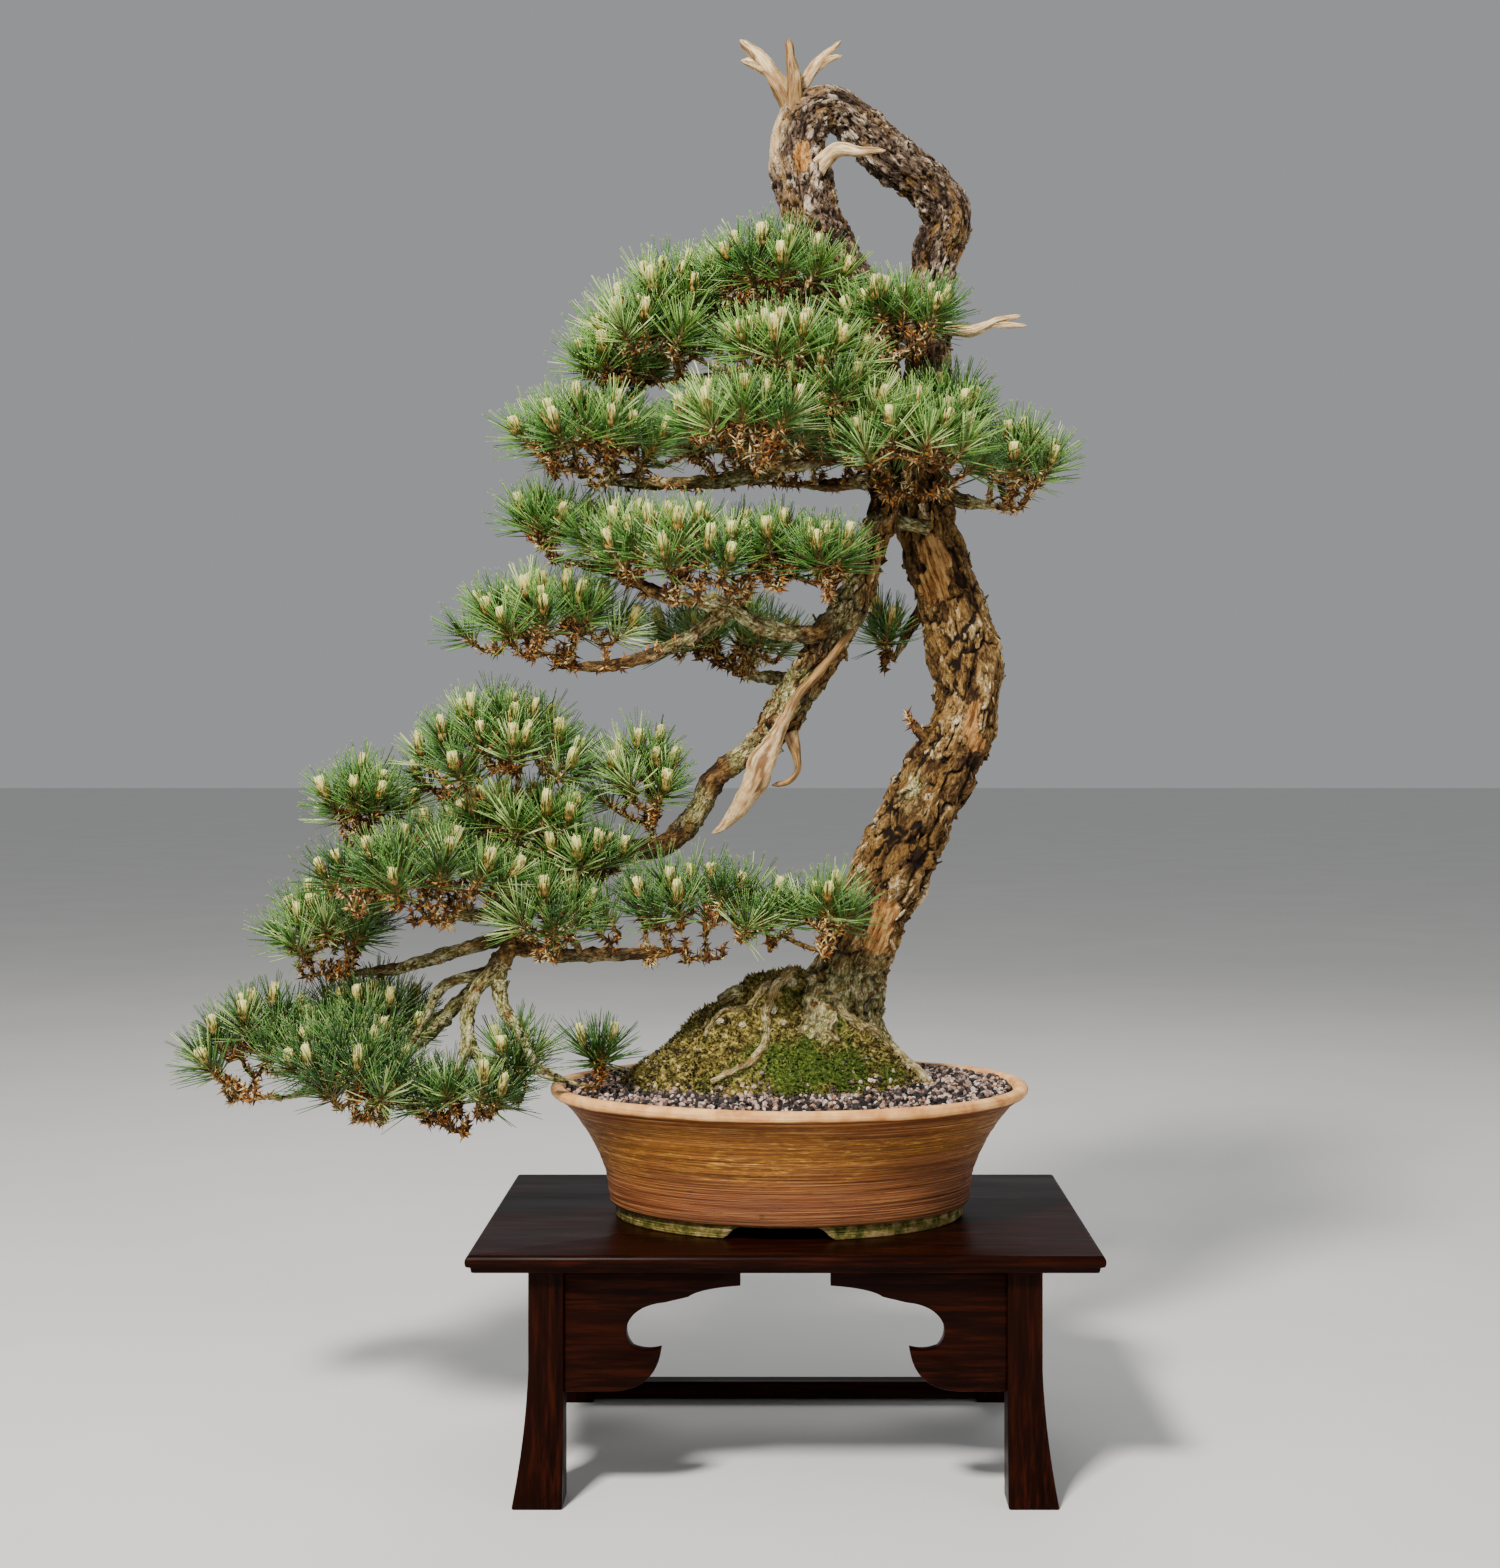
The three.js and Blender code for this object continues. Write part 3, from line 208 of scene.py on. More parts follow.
DEADWOOD = [
    [(6, 0, 1026, 8), (-6, 0, 1049, 6.4), (-18, 0, 1065, 5.4), (-35, 0, 1080, 3)],
    [(-14, 0, 1058, 4.6), (-24, 3, 1063, 3.6), (-34, 5, 1066, 1.8)],
    [(7, -8, 1016, 7.4), (7, -11, 1040, 6), (4, -12, 1062, 3.6), (2, -12, 1077, 3.4)],
    [(6, 2, 1036, 6.4), (26, 8, 1066, 4.2), (43, 10, 1083, 1.8)],
    [(22, 7, 1060, 3.8), (34, 8, 1068, 2.6), (44, 9, 1071, 1.6)],
    [(18, -18, 968, 8), (31, -27, 982, 6), (40, -32, 987, 5.2), (56, -39, 984, 3.4), (75, -44, 983, 1.6)],
    [(112, 34, 868, 6), (146, 20, 861, 4.4), (164, 12, 867, 3.4), (182, 8, 870, 1.6)],
    [(158, 14, 865, 3), (172, 10, 863, 2.4), (186, 6, 862, 1.4)],
    [(53, -35, 628, 2.4), (35, -42, 605, 3.2), (21, -46, 588, 3.4), (9, -49, 575, 3.8), (1, -51, 560, 4.2),
     (-5, -51, 549, 5), (-10, -50, 539, 6.8), (-17, -48, 526, 9.8), (-22, -47, 512, 9.6),
     (-30, -48, 498, 7.6), (-39, -48, 486, 5), (-47, -49, 477, 3), (-55, -50, 472, 1.2)],
    [(3, -38, 548, 6), (8, -39, 531, 3.2), (9, -40, 519, 2.4), (2, -41, 511, 2.2), (-10, -42, 508, 1.6)],
]
RINGS = {  # sides of each ring, and the distance from ring to ring
    "trunk": (112, 2.3), "limbs": (16, 2.8), "roots": (30, 2.6), "thin_roots": (10, 2.2),
    "deadwood": (24, 1.8),
}
BARK_CHANGE = (780, 880)  # heights between which broad plates of bark give way to small ones
MOSSY_HEIGHTS = (346, 388)  # heights between which the moss on the wood fades out
FLAKES = {"tried": 1500, "sides": 5, "length": (3, 8), "width": (1.8, 4), "thickness": (0.5, 1.1)}
SPUR = {"limbs": 13, "spacing": 8.5, "scales": 10}
STUB = {"places": 12, "first": 5, "outward": (-0.7, -0.2, 0.7), "scales": 9}  # the last limb
CURVE_STEPS = 40
WOOD_PLACES = {"trunk": 260, "limb": 24}

# Foliage pads, each of one or more domes: middle of the flat underside, reach of the needles, and rise
PADS = {
    "crown_top": [(-8, -30, 866, 72, 70, 45)],
    "crown_shoulder_left": [
        (-102, -35, 824, 60, 65, 34), (-85, -35, 850, 50, 50, 40), (-128, -30, 806, 46, 50, 26),
    ],
    "crown_shoulder_right": [(86, -46, 838, 56, 56, 30)],
    "crown_front": [(3, -95, 806, 65, 45, 29)],
    "crown_back": [(4, 95, 850, 106, 60, 57)],
    "skirt_left": [(-147, -40, 748, 71, 75, 37)],
    "skirt_front": [(-29, -95, 752, 69, 55, 36), (30, -85, 770, 55, 50, 34)],
    "skirt_right": [(87, -80, 732, 69, 60, 52), (122, -25, 768, 46, 50, 34)],
    "skirt_far_right": [(174, -20, 732, 49, 60, 34)],
    "skirt_back": [(-5, 104, 764, 131, 60, 41)],
    "middle_left": [(-181, -30, 689, 42, 45, 23), (-128, -45, 676, 46, 45, 26)],
    "middle_front": [(-70, -70, 656, 85, 55, 40)],
    "middle_right": [(29, -85, 658, 36, 35, 22), (-5, -75, 664, 46, 45, 26)],
    "low_left": [(-180, -40, 609, 79, 60, 41)],
    "low_back": [(-48, 50, 606, 71, 55, 28)],
    "low_right": [(78, 35, 609, 28, 30, 27)],
    "fall_top": [(-215, -30, 504, 79, 75, 57), (-195, -45, 462, 62, 50, 30)],
    "fall_top_right": [(-110, -20, 485, 46, 50, 49)],
    "fall_shoulder": [(-319, -20, 474, 46, 60, 38)],
    "fall_middle": [(-268, -75, 421, 88, 55, 40), (-150, -50, 432, 50, 45, 28)],
    "fall_left": [(-348, -10, 374, 57, 65, 46)],
    "fall_arm": [(-63, -70, 391, 103, 40, 44), (-175, -75, 392, 50, 40, 38), (30, -75, 396, 38, 36, 30)],
    "fall_back": [(-253, 70, 414, 104, 50, 64)],
    "bottom_left": [(-396, -20, 280, 68, 55, 53), (-330, -45, 286, 60, 45, 40)],
    "bottom_front": [(-310, -76, 271, 62, 47, 38), (-238, -62, 264, 64, 44, 22)],
    "bottom_top": [(-319, 0, 308, 61, 60, 35)],
    "bottom_right": [(-203, -40, 283, 34, 40, 34)],
    "rim_tuft": [(-137, -60, 294, 28, 28, 19)],
}
# Shoots and what grows on them, in millimetres and degrees; the area is what each shoot covers
SHOOT = {"area": 600, "edge": 24, "lift": 7, "drop": 18, "upright": 4, "rim": 50, "stem": 15}
BARE_SHARE = 0.42  # twigs without needles, for each shoot with needles
# Lower pads get painted shade, as if shaded by the crown: darker needles as well as a cooler green.
SHADE = {"below": 560, "over": 300}  # lower pads are cooler in colour
KEEP_OUT = {"trunk": 1.5, "pot_radius": 186, "ground": 3}  # where needles stay away from
BATCH = 4000  # points that are compared with the trunk at one time
NEEDLE = {"pairs": 26, "length": (25, 34), "radius": 0.64, "tip": 0.35, "near": 12, "far": 72, "spread": 5}
SCALE = {"shoot": 21, "twig": 6, "length": (3.5, 8.5), "radius": 1.3}
CANDLE = {
    "share": 0.7, "fewer_low": 0.2, "length": (13, 20), "radius": (3.6, 4.9), "sides": 7,
    "spikes": 9, "spike": 0.8, "blunt": 0.5,
}
CANDLE_OUTLINE = [(0.0, 0.85), (0.2, 1.0), (0.6, 1.0), (0.86, 0.85), (0.98, 0.5)]  # height and width
TWIG = {"sides": 5, "back": 8, "reach": 60, "on_wood": 2.8, "on_twig": 2.0, "foot": 1.7, "tip": 1.1}
GOLDEN_ANGLE = math.pi * (3 - math.sqrt(5))


# Numbers that look random, but are the same each run


def scrambled(cells, seed):
    """A number from 0 to 1 for each whole-number place."""
    cells = cells.astype(np.int64)
    mixed = cells[..., 0] * 73856093 ^ cells[..., 1] * 19349663 ^ cells[..., 2] * 83492791 ^ seed * 97531
    mixed &= 0xFFFFFFFF
    mixed = ((mixed ^ (mixed >> 15)) * 2246822519) & 0xFFFFFFFF
    mixed = ((mixed ^ (mixed >> 13)) * 3266489917) & 0xFFFFFFFF
    return ((mixed ^ (mixed >> 16)) & 0xFFFFFF) / 0xFFFFFF


def noise(points, size, seed=0):
    """Smooth noise from -1 to 1, with lumps of the given size."""
    places = np.asarray(points, float) / size
    corner = np.floor(places)
    share = places - corner
    share = share * share * (3 - 2 * share)
    total = np.zeros(len(places))
    for step in np.ndindex(2, 2, 2):
        weight = np.prod(np.where(np.array(step) == 1, share, 1 - share), axis=1)
        total += weight * scrambled(corner + np.array(step), seed)
    return total * 2 - 1


def rough(points, size, octaves, seed=0):
    """Noise in several finer and weaker layers."""
    return sum(noise(points, size / 2**k, seed + k) / 2**k for k in range(octaves))


def plates(points, seed):
    """Irregular cells: how far each point is inside its cell's border, and a number for its cell."""
    corner = np.floor(points)
    nearest = np.full(len(points), 9.0)
    second = np.full(len(points), 9.0)
    number = np.zeros(len(points))
    for step in np.ndindex(3, 3, 3):
        cell = corner + np.array(step) - 1
        jitter = np.stack([scrambled(cell, seed + k) for k in range(3)], axis=1)
        distance = np.linalg.norm(cell + jitter - points, axis=1)
        closer = distance < nearest
        second = np.where(closer, nearest, np.minimum(second, distance))
        number = np.where(closer, scrambled(cell, seed + 3), number)
        nearest = np.where(closer, distance, nearest)
    return second - nearest, number


def smoothstep(low, high, value):
    share = np.clip((value - low) / (high - low), 0, 1)
    return share * share * (3 - 2 * share)


# Meshes


def make_piece(name, part, material, smooth=True):
    """A mesh from a part: its points in millimetres, its faces in groups, and the values of its points."""
    mesh = bpy.data.meshes.new(name)
    faces = [np.asarray(group, np.int32) for group in part["faces"] if len(group)]
    corners = np.concatenate([group.ravel() for group in faces])
    sizes = np.concatenate([np.full(len(group), group.shape[1]) for group in faces])
    places = (np.asarray(part["points"]) * MM + ORIGIN).astype(np.float32)
    mesh.vertices.add(len(places))
    mesh.vertices.foreach_set("co", places.ravel())
    mesh.loops.add(len(corners))
    mesh.loops.foreach_set("vertex_index", corners)
    mesh.polygons.add(len(sizes))
    mesh.polygons.foreach_set("loop_start", (np.cumsum(sizes) - sizes).astype(np.int32))
    mesh.polygons.foreach_set("use_smooth", np.full(len(sizes), smooth))
    mesh.update(calc_edges=True)
    for key in value_names(part):
        value = np.asarray(part[key], np.float32)
        kind, field = ("FLOAT", "value") if value.ndim == 1 else ("FLOAT_VECTOR", "vector")
        mesh.attributes.new(key, kind, "POINT").data.foreach_set(field, value.ravel())
    mesh.materials.append(bpy.data.materials[material])
    piece = placed(name, mesh)
    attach(piece, "root")
    return piece


def placed(name, data):
    """A new object in the scene that shows the data."""
    made = bpy.data.objects.new(name, data)
    bpy.context.scene.collection.objects.link(made)
    return made


def value_names(part):
    return [key for key in part if key not in ("points", "faces")]


def merged(parts):
    """Several parts as one, with the three-sided faces before the four-sided ones."""
    faces, values, start = {3: [], 4: []}, {}, 0
    for part in parts:
        for group in part["faces"]:
            if len(group):
                faces[group.shape[1]].append(group + start)
        for key in value_names(part):
            values.setdefault(key, []).append(part[key])
        start += len(part["points"])
    return {
        "points": np.concatenate([part["points"] for part in parts]),
        "faces": [np.concatenate(groups) for groups in faces.values() if groups],
        **{key: np.concatenate(value) for key, value in values.items()},
    }


def repeated(faces, count, size):
    """One item's faces for each of several items, whose points follow one another."""
    start = np.arange(count)[:, None, None] * size
    return (faces + start).reshape(-1, faces.shape[1])


def grid_faces(rows, columns):
    """Four-sided faces between closed rings of points."""
    row, column = np.meshgrid(np.arange(rows - 1), np.arange(columns), indexing="ij")
    following = (column + 1) % columns
    low, high = row * columns, (row + 1) * columns
    return np.stack([low + column, low + following, high + following, high + column], axis=-1).reshape(-1, 4)


def ringed(rings, first, last):
    """A closed surface through rings of points, with a fan to a middle point at each end."""
    rows, columns = rings.shape[:2]
    count = rows * columns
    around = np.arange(columns)
    following = (around + 1) % columns
    last_ring = count - columns
    start_fan = np.stack([np.full(columns, count), following, around], axis=1)
    end_fan = np.stack([np.full(columns, count + 1), last_ring + around, last_ring + following], axis=1)
    points = np.concatenate([rings.reshape(-1, 3), [first], [last]])
    return {"points": points, "faces": [grid_faces(rows, columns), start_fan, end_fan]}


def angles(count):
    """Angles evenly round a full turn."""
    return np.linspace(0, TURN, count, endpoint=False)


def unit(vectors):
    return vectors / np.maximum(np.linalg.norm(vectors, axis=-1, keepdims=True), 1e-9)


# Smooth curves through a path's points


def distances(places):
    """How far along the line through the places each of them is."""
    return np.concatenate([[0], np.cumsum(np.linalg.norm(np.diff(places, axis=0), axis=1))])


def curve_points(path, count):
    """A centripetal curve through the path's points: places and radii, evenly spaced, and the distances."""
    given = np.array(path, float)
    ends = [2 * given[0, :3] - given[1, :3], *given[:, :3], 2 * given[-1, :3] - given[-2, :3]]
    places, radii = [], []
    for i in range(len(given) - 1):
        p = ends[i : i + 4]
        t = np.cumsum([0, *[np.linalg.norm(p[k + 1] - p[k]) ** 0.5 for k in range(3)]])
        for share in np.linspace(0, 1, CURVE_STEPS, endpoint=i == len(given) - 2):
            at = t[1] + share * (t[2] - t[1])
            low = [
                (p[k] * (t[k + 1] - at) + p[k + 1] * (at - t[k])) / (t[k + 1] - t[k]) for k in range(3)
            ]
            middle = [
                (low[k] * (t[k + 2] - at) + low[k + 1] * (at - t[k])) / (t[k + 2] - t[k]) for k in range(2)
            ]
            places.append((middle[0] * (t[2] - at) + middle[1] * (at - t[1])) / (t[2] - t[1]))
            radii.append(given[i, 3] + share * (given[i + 1, 3] - given[i, 3]))
    places = np.array(places)
    distance = distances(places)
    along = np.linspace(0, distance[-1], count)
    centres = np.stack([np.interp(along, distance, places[:, k]) for k in range(3)], axis=1)
    return centres, np.interp(along, distance, radii), along


def path_length(path):
    return float(np.linalg.norm(np.diff(np.array(path, float)[:, :3], axis=0), axis=1).sum())


def sweep(path, sides, spacing, relief, shape=None):
    """A closed tube along a path. relief gives how far each point of it is raised, and values for it."""
    rings = max(4, int(path_length(path) / spacing))
    centres, radii, along = curve_points(path, rings)
    tangents = unit(np.gradient(centres, axis=0))
    side = np.array([0.0, -1.0, 0.0])
    sideways = []
    for tangent in tangents:
        side = unit(side - tangent * (side @ tangent))
        sideways.append(side)
    sideways = np.array(sideways)
    upward = np.cross(tangents, sideways)
    angle = angles(sides)
    radii = radii if shape is None else shape(radii, along)
    out = sideways[:, None] * np.cos(angle)[None, :, None] + upward[:, None] * np.sin(angle)[None, :, None]
    radius = np.repeat(radii, sides)
    grain = np.stack([
        radius * np.tile(np.cos(angle), rings),
        radius * np.tile(np.sin(angle), rings),
        np.repeat(along, sides),
    ], axis=1)
    surface = (centres[:, None] + out * radii[:, None, None]).reshape(-1, 3)
    raised, values = relief(grain, surface, radius)
    points = (surface + out.reshape(-1, 3) * raised[:, None]).reshape(rings, sides, 3)
    values = {**values, "grain": grain}
    ended = {key: np.concatenate([value, value[:1], value[-1:]]) for key, value in values.items()}
    return {**ringed(points, centres[0], centres[-1]), **ended}


# Wood


def mossy_share(surface):
    """How green the wood is near the ground."""
    height = surface[:, 2] + 10 * noise(surface, 22, 71)
    return 1 - smoothstep(*MOSSY_HEIGHTS, height)


def near(points, middle, reach, power=2):
    """From 0 to 1: how near each point is to the middle."""
    return np.exp(-np.sum(((points - middle) / reach) ** power, axis=1))


def strayed(points, size, amount, seeds):
    """The points, moved along each axis by noise of its own."""
    return points + amount * np.stack([rough(points, size, 3, seed) for seed in seeds], axis=1)


def spots(surface, places):
    """From 0 to 1: how near each point is to the middle of one of the places, each a middle and a reach."""
    points = strayed(surface, 15, 7, (73, 75, 77))
    return np.max([near(points, middle, reach, 4) for middle, reach in places], axis=0)


def layered(grain, plate_size, layer_size, seed):
    """Ragged layers of bark, one over another, on plates with cracks between them, with painted shade under
    each layer's step.
    """
    seeds = (seed + 20, seed + 30, seed + 40)
    bent = strayed(grain, np.array(plate_size) * 0.9, 0.45 * plate_size[0], seeds)
    inside, number = plates(bent / plate_size, seed)
    crack = 1 - smoothstep(0.01, 0.15, inside)
    field = 2.1 * rough(bent, np.array((1, 1, 2.1)) * layer_size, 4, seed + 50) + 2.2 * number
    level = np.floor(field)
    share = field - level
    terrace = level + smoothstep(0.72, 1.0, share)
    # painted shade: a dark band just under each layer's step, where the layer above shades it; it joins the
    # cracks in the third value
    shade = smoothstep(0.5, 0.8, share) * (1 - smoothstep(0.86, 1.0, share))
    return terrace, crack, np.maximum(crack, 0.5 * shade)


def trunk_bark(grain, surface, radius):
    """Broad ragged plates low on the trunk, and small ones on the arch, with bare orange patches."""
    broad = layered(grain, (16, 16, 34), 12, 3)
    small = layered(grain, (7, 7, 10), 5, 5)
    high = smoothstep(*BARK_CHANGE, surface[:, 2])
    layer, crack, dark = (low + (up - low) * high for low, up in zip(broad, small))
    bare = spots(surface, BARE_PATCHES)
    pale = spots(surface, PALE_PATCHES)
    knotty = spots(surface, DARK_PATCHES)
    height = (1.35 - 0.35 * high + 0.4 * knotty) * layer - (2.8 - 1.0 * high) * crack
    height += (0.35 + 0.35 * high) * rough(grain / (1, 1, 2), 2.6, 2, 13)
    height *= 1 - 0.85 * np.maximum(bare, pale)
    height += 0.08 * radius * rough(surface, 34, 2, 9) - 1.3 * bare
    height += 0.7 * bare * rough(grain / (1, 1, 9), 4, 2, 17)
    for middle, size, reach in KNOTS:
        height += size * np.exp(-np.sum((surface - middle) ** 2, axis=1) / reach**2)
    values = {
        "number": np.clip(0.4 + 0.15 * layer + 0.16 * rough(surface, 45, 2, 15) - 0.34 * knotty, 0, 1),
        # cracks, with the painted shade under the layer steps, darken the colour
        "crack": np.clip(dark * (1 - 0.8 * np.maximum(bare, pale)) + 0.12 * knotty, 0, 1),
        "mossy": np.maximum(mossy_share(surface), spots(surface, LICHEN_PATCHES)),
        "bare": bare,
        "pale": pale,
    }
    return height - 1.2, values


def limb_bark(grain, surface, radius):
    """Small rough scales and old knuckles on the branches."""
    inside, number = plates((surface + 2.5 * rough(surface, 6, 3, 25)[:, None]) / 5.5, 23)
    crack = 1 - smoothstep(0.0, 0.2, inside)
    height = (1.6 * number - 0.8 * crack) * np.clip(radius / 6, 0.5, 1.3)
    height += radius * (0.2 * rough(surface, 13, 3, 33) + 0.16 * np.maximum(noise(surface, 7, 37), 0)) - 0.5
    values = {
        "number": np.clip(0.05 + 0.45 * number + 0.25 * rough(surface, 20, 2, 39), 0, 1),
        "crack": 0.6 * crack,
        "mossy": 0.9 * smoothstep(-0.45, 0.25, noise(surface, 26, 35)) + mossy_share(surface),
    }
    return height, values


def root_bark(grain, surface, radius):
    """Old roots: rough where they are thick, smooth and pale where they are thin."""
    layer, crack, dark = layered(grain, (8, 8, 14), 7, 43)
    thin = smoothstep(9, 5, radius)
    height = (1 - 0.75 * thin) * (1.1 * layer - 1.4 * crack) + 0.24 * radius * rough(surface, 9, 3, 45)
    values = {
        "number": np.clip(0.45 + 0.15 * layer, 0, 1),
        # cracks, with the painted shade under the layer steps, fading on thin roots
        "crack": dark * (1 - 0.7 * thin),
        "mossy": mossy_share(surface) * (1 - 0.35 * thin),
        "pale": 0.4 * thin * smoothstep(-0.3, 0.3, noise(surface, 18, 47)),
    }
    return height - 0.8 * (1 - thin), values


def dead_grain(grain, surface, radius):
    """Long weathered grooves."""
    turns = np.arctan2(grain[:, 1], grain[:, 0]) + grain[:, 2] / 60
    across = np.stack([np.cos(turns) * 4, np.sin(turns) * 4, grain[:, 2] / 16], axis=1)
    groove = rough(across, 1.3, 3, 53)
    height = radius * (0.17 * groove + 0.13 * rough(surface, 11, 2, 57))
    brown = spots(surface, BROWN_DEADWOOD) + 0.4 * smoothstep(700, 500, surface[:, 2])
    # the grooves' hollows are marked for darkening: weathered grain with painted shade in the grooves
    return height, {"crack": smoothstep(0.15, -0.7, groove), "brown": brown}


def tapering(radii, along):
    """Thicker at the foot, and ending as thin as a twig."""
    left = along[-1] - along
    return radii * (1 + 0.35 * np.exp(-along / 10)) * np.clip(0.45 + left / 45, 0.45, 1)


def splintered(radii, along):
    """A spike that keeps its width and then ends quickly."""
    left = along[-1] - along
    return radii * np.clip(0.35 + left / 6, 0.35, 1)


def laid(path):
    """A thin root's path, following the lumps of the moss."""
    given = np.array(path, float)
    distance = distances(given[:, :2])
    along = np.arange(0, distance[-1], 5)
    x, y, radius = (np.interp(along, distance, given[:, k]) for k in range(3))
    ground = np.stack([x, y, mound_top(x, y)], axis=1)
    height = ground[:, 2] + mound_lumps(ground) + 0.35 * radius
    return list(zip(x, y, height, radius))


def build_wood():
    trunk = sweep(TRUNK, *RINGS["trunk"], trunk_bark)
    piece = make_piece("trunk_bark", merged([trunk]), "flaky_bark")
    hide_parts("trunk")
    limbs = [sweep(path, *RINGS["limbs"], limb_bark, tapering) for path in LIMBS]
    make_piece("limbs_bark", merged(limbs), "flaky_bark")
    roots = [sweep(path, *RINGS["roots"], root_bark) for path in ROOTS]
    roots += [sweep(laid(path), *RINGS["thin_roots"], root_bark) for path in THIN_ROOTS]
    make_piece("surface_roots", merged(roots), "flaky_bark")
    dead = [sweep(path, *RINGS["deadwood"], dead_grain, splintered) for path in DEADWOOD]
    make_piece("deadwood", merged(dead), "deadwood")
    stub = curve_points(LIMBS[-1], STUB["places"])[0][STUB["first"] :]
    outward = unit(np.tile(STUB["outward"], (len(stub), 1)))
    scales = scale_part(stub, outward, STUB["scales"], np.random.default_rng(SEED + 3), (0.2, 1.5), (1, 6))
    make_piece("stub_scales", merged([scales]), "bud_scales")
    build_spurs(np.random.default_rng(SEED + 4))
    return trunk


def build_spurs(rng):
    """Clumps of old scales all along the limbs that carry the upper pads."""
    feet, axes = [], []
    for path in LIMBS[: SPUR["limbs"]]:
        centres, radii, _ = curve_points(path, round(path_length(path) / SPUR["spacing"]))
        around = unit(rng.normal(size=centres.shape) - (0, 0.3, 0.2))
        feet.append(centres + around * (radii * 0.75)[:, None])
        axes.append(around)
    feet, axes = np.concatenate(feet), np.concatenate(axes)
    scales = scale_part(feet, axes, SPUR["scales"], rng, (0.1, 1.4), (-0.5, 1))
    make_piece("limb_scales", merged([scales]), "bud_scales")


def build_flakes(trunk, rng):
    """Loose bark flakes that stand out of the trunk's surface."""
    faces = trunk["faces"][0]
    chosen = faces[rng.integers(len(faces), size=FLAKES["tried"])]
    smooth = np.maximum(trunk["bare"], trunk["pale"])[chosen[:, 0]] > 0.3
    chosen = chosen[~smooth]
    corners = trunk["points"][chosen]
    count, sides = len(chosen), FLAKES["sides"]
    centre = corners.mean(axis=1)
    along = corners[:, 3] - corners[:, 0]
    out = unit(np.cross(corners[:, 1] - corners[:, 0], along))
    tilt = rng.uniform(0.05, 0.5, count)[:, None]
    ahead = unit(unit(along) + out * tilt * rng.choice([-1, 1], count)[:, None])
    across = np.cross(out, ahead)
    reach = rng.uniform(0.45, 1.3, (count, sides))
    size = (1 - 0.5 * smoothstep(*BARK_CHANGE, centre[:, 2]))[:, None]
    length = np.cos(angles(sides)) * reach * size * rng.uniform(*FLAKES["length"], (count, 1))
    width = np.sin(angles(sides)) * reach * size * rng.uniform(*FLAKES["width"], (count, 1))
    rim = centre[:, None] + length[..., None] * ahead[:, None] + width[..., None] * across[:, None]
    rim += out[:, None] * 0.7
    thickness = rng.uniform(*FLAKES["thickness"], (count, 1, 1))
    points = np.concatenate([rim - out[:, None] * thickness * 2.2, rim], axis=1).reshape(-1, 3)
    cap = np.array([[0, k, k + 1] for k in range(1, sides - 1)])
    caps = np.concatenate([cap[:, ::-1], cap + sides])
    near = trunk["number"][chosen[:, 0]]
    flakes = {
        "points": points,
        "faces": [repeated(group, count, 2 * sides) for group in (grid_faces(2, sides), caps)],
        "number": np.repeat(np.clip(near + rng.uniform(-0.2, 0.3, count), 0, 1), 2 * sides),
        # painted shade: the flake's inner ring, against the trunk, is darkened like a crack
        "crack": np.tile(np.repeat([0.7, 0.0], sides), count),
        "mossy": np.repeat(trunk["mossy"][chosen[:, 0]], 2 * sides),
        "grain": points,
    }
    make_piece("bark_flakes", flakes, "flaky_bark", False)


# Foliage


def two_across(axis):
    """Two directions at right angles to each axis and to one another."""
    helper = np.where(np.abs(axis[:, 2:]) > 0.9, [[1.0, 0, 0]], [[0, 0, 1.0]])
    aside = unit(np.cross(axis, helper))
    return aside, np.cross(axis, aside)


def spikes(bases, directions, lengths, radii, rng, values, tip=0.0):
    """Slim three-sided spikes, pointed or with a blunt tip that has a share of the foot's radius."""
    count = len(bases)
    aside, other = two_across(directions)
    roll = rng.uniform(0, TURN, count)
    lengths, radii = lengths[:, None], radii[:, None]
    corners = []
    for share, width in ((0, 1.0), (1, tip)) if tip else ((0, 1.0),):
        for corner in range(3):
            angle = (roll + corner * TURN / 3)[:, None]
            out = aside * np.cos(angle) + other * np.sin(angle)
            corners.append(bases + directions * lengths * share + out * radii * width)
    if tip:
        along = [0, 0, 0, 1, 1, 1]
        faces = [np.array([[0, 1, 4, 3], [1, 2, 5, 4], [2, 0, 3, 5]]), np.array([[0, 2, 1], [3, 4, 5]])]
    else:
        corners.append(bases + directions * lengths)
        along = [0, 0, 0, 1]
        faces = [np.array([[0, 2, 1], [0, 1, 3], [1, 2, 3], [2, 0, 3]])]
    return {
        "points": np.stack(corners, axis=1).reshape(-1, 3),
        "faces": [repeated(group, count, len(along)) for group in faces],
        "along": np.tile(along, count),
        **{key: np.repeat(value, len(along)) for key, value in values.items()},
    }


def fan(axis, polar, azimuth):
    """Directions at an angle from each axis."""
    aside, other = two_across(axis)
    sideways = aside * np.cos(azimuth)[:, None] + other * np.sin(azimuth)[:, None]
    return axis * np.cos(polar)[:, None] + sideways * np.sin(polar)[:, None]


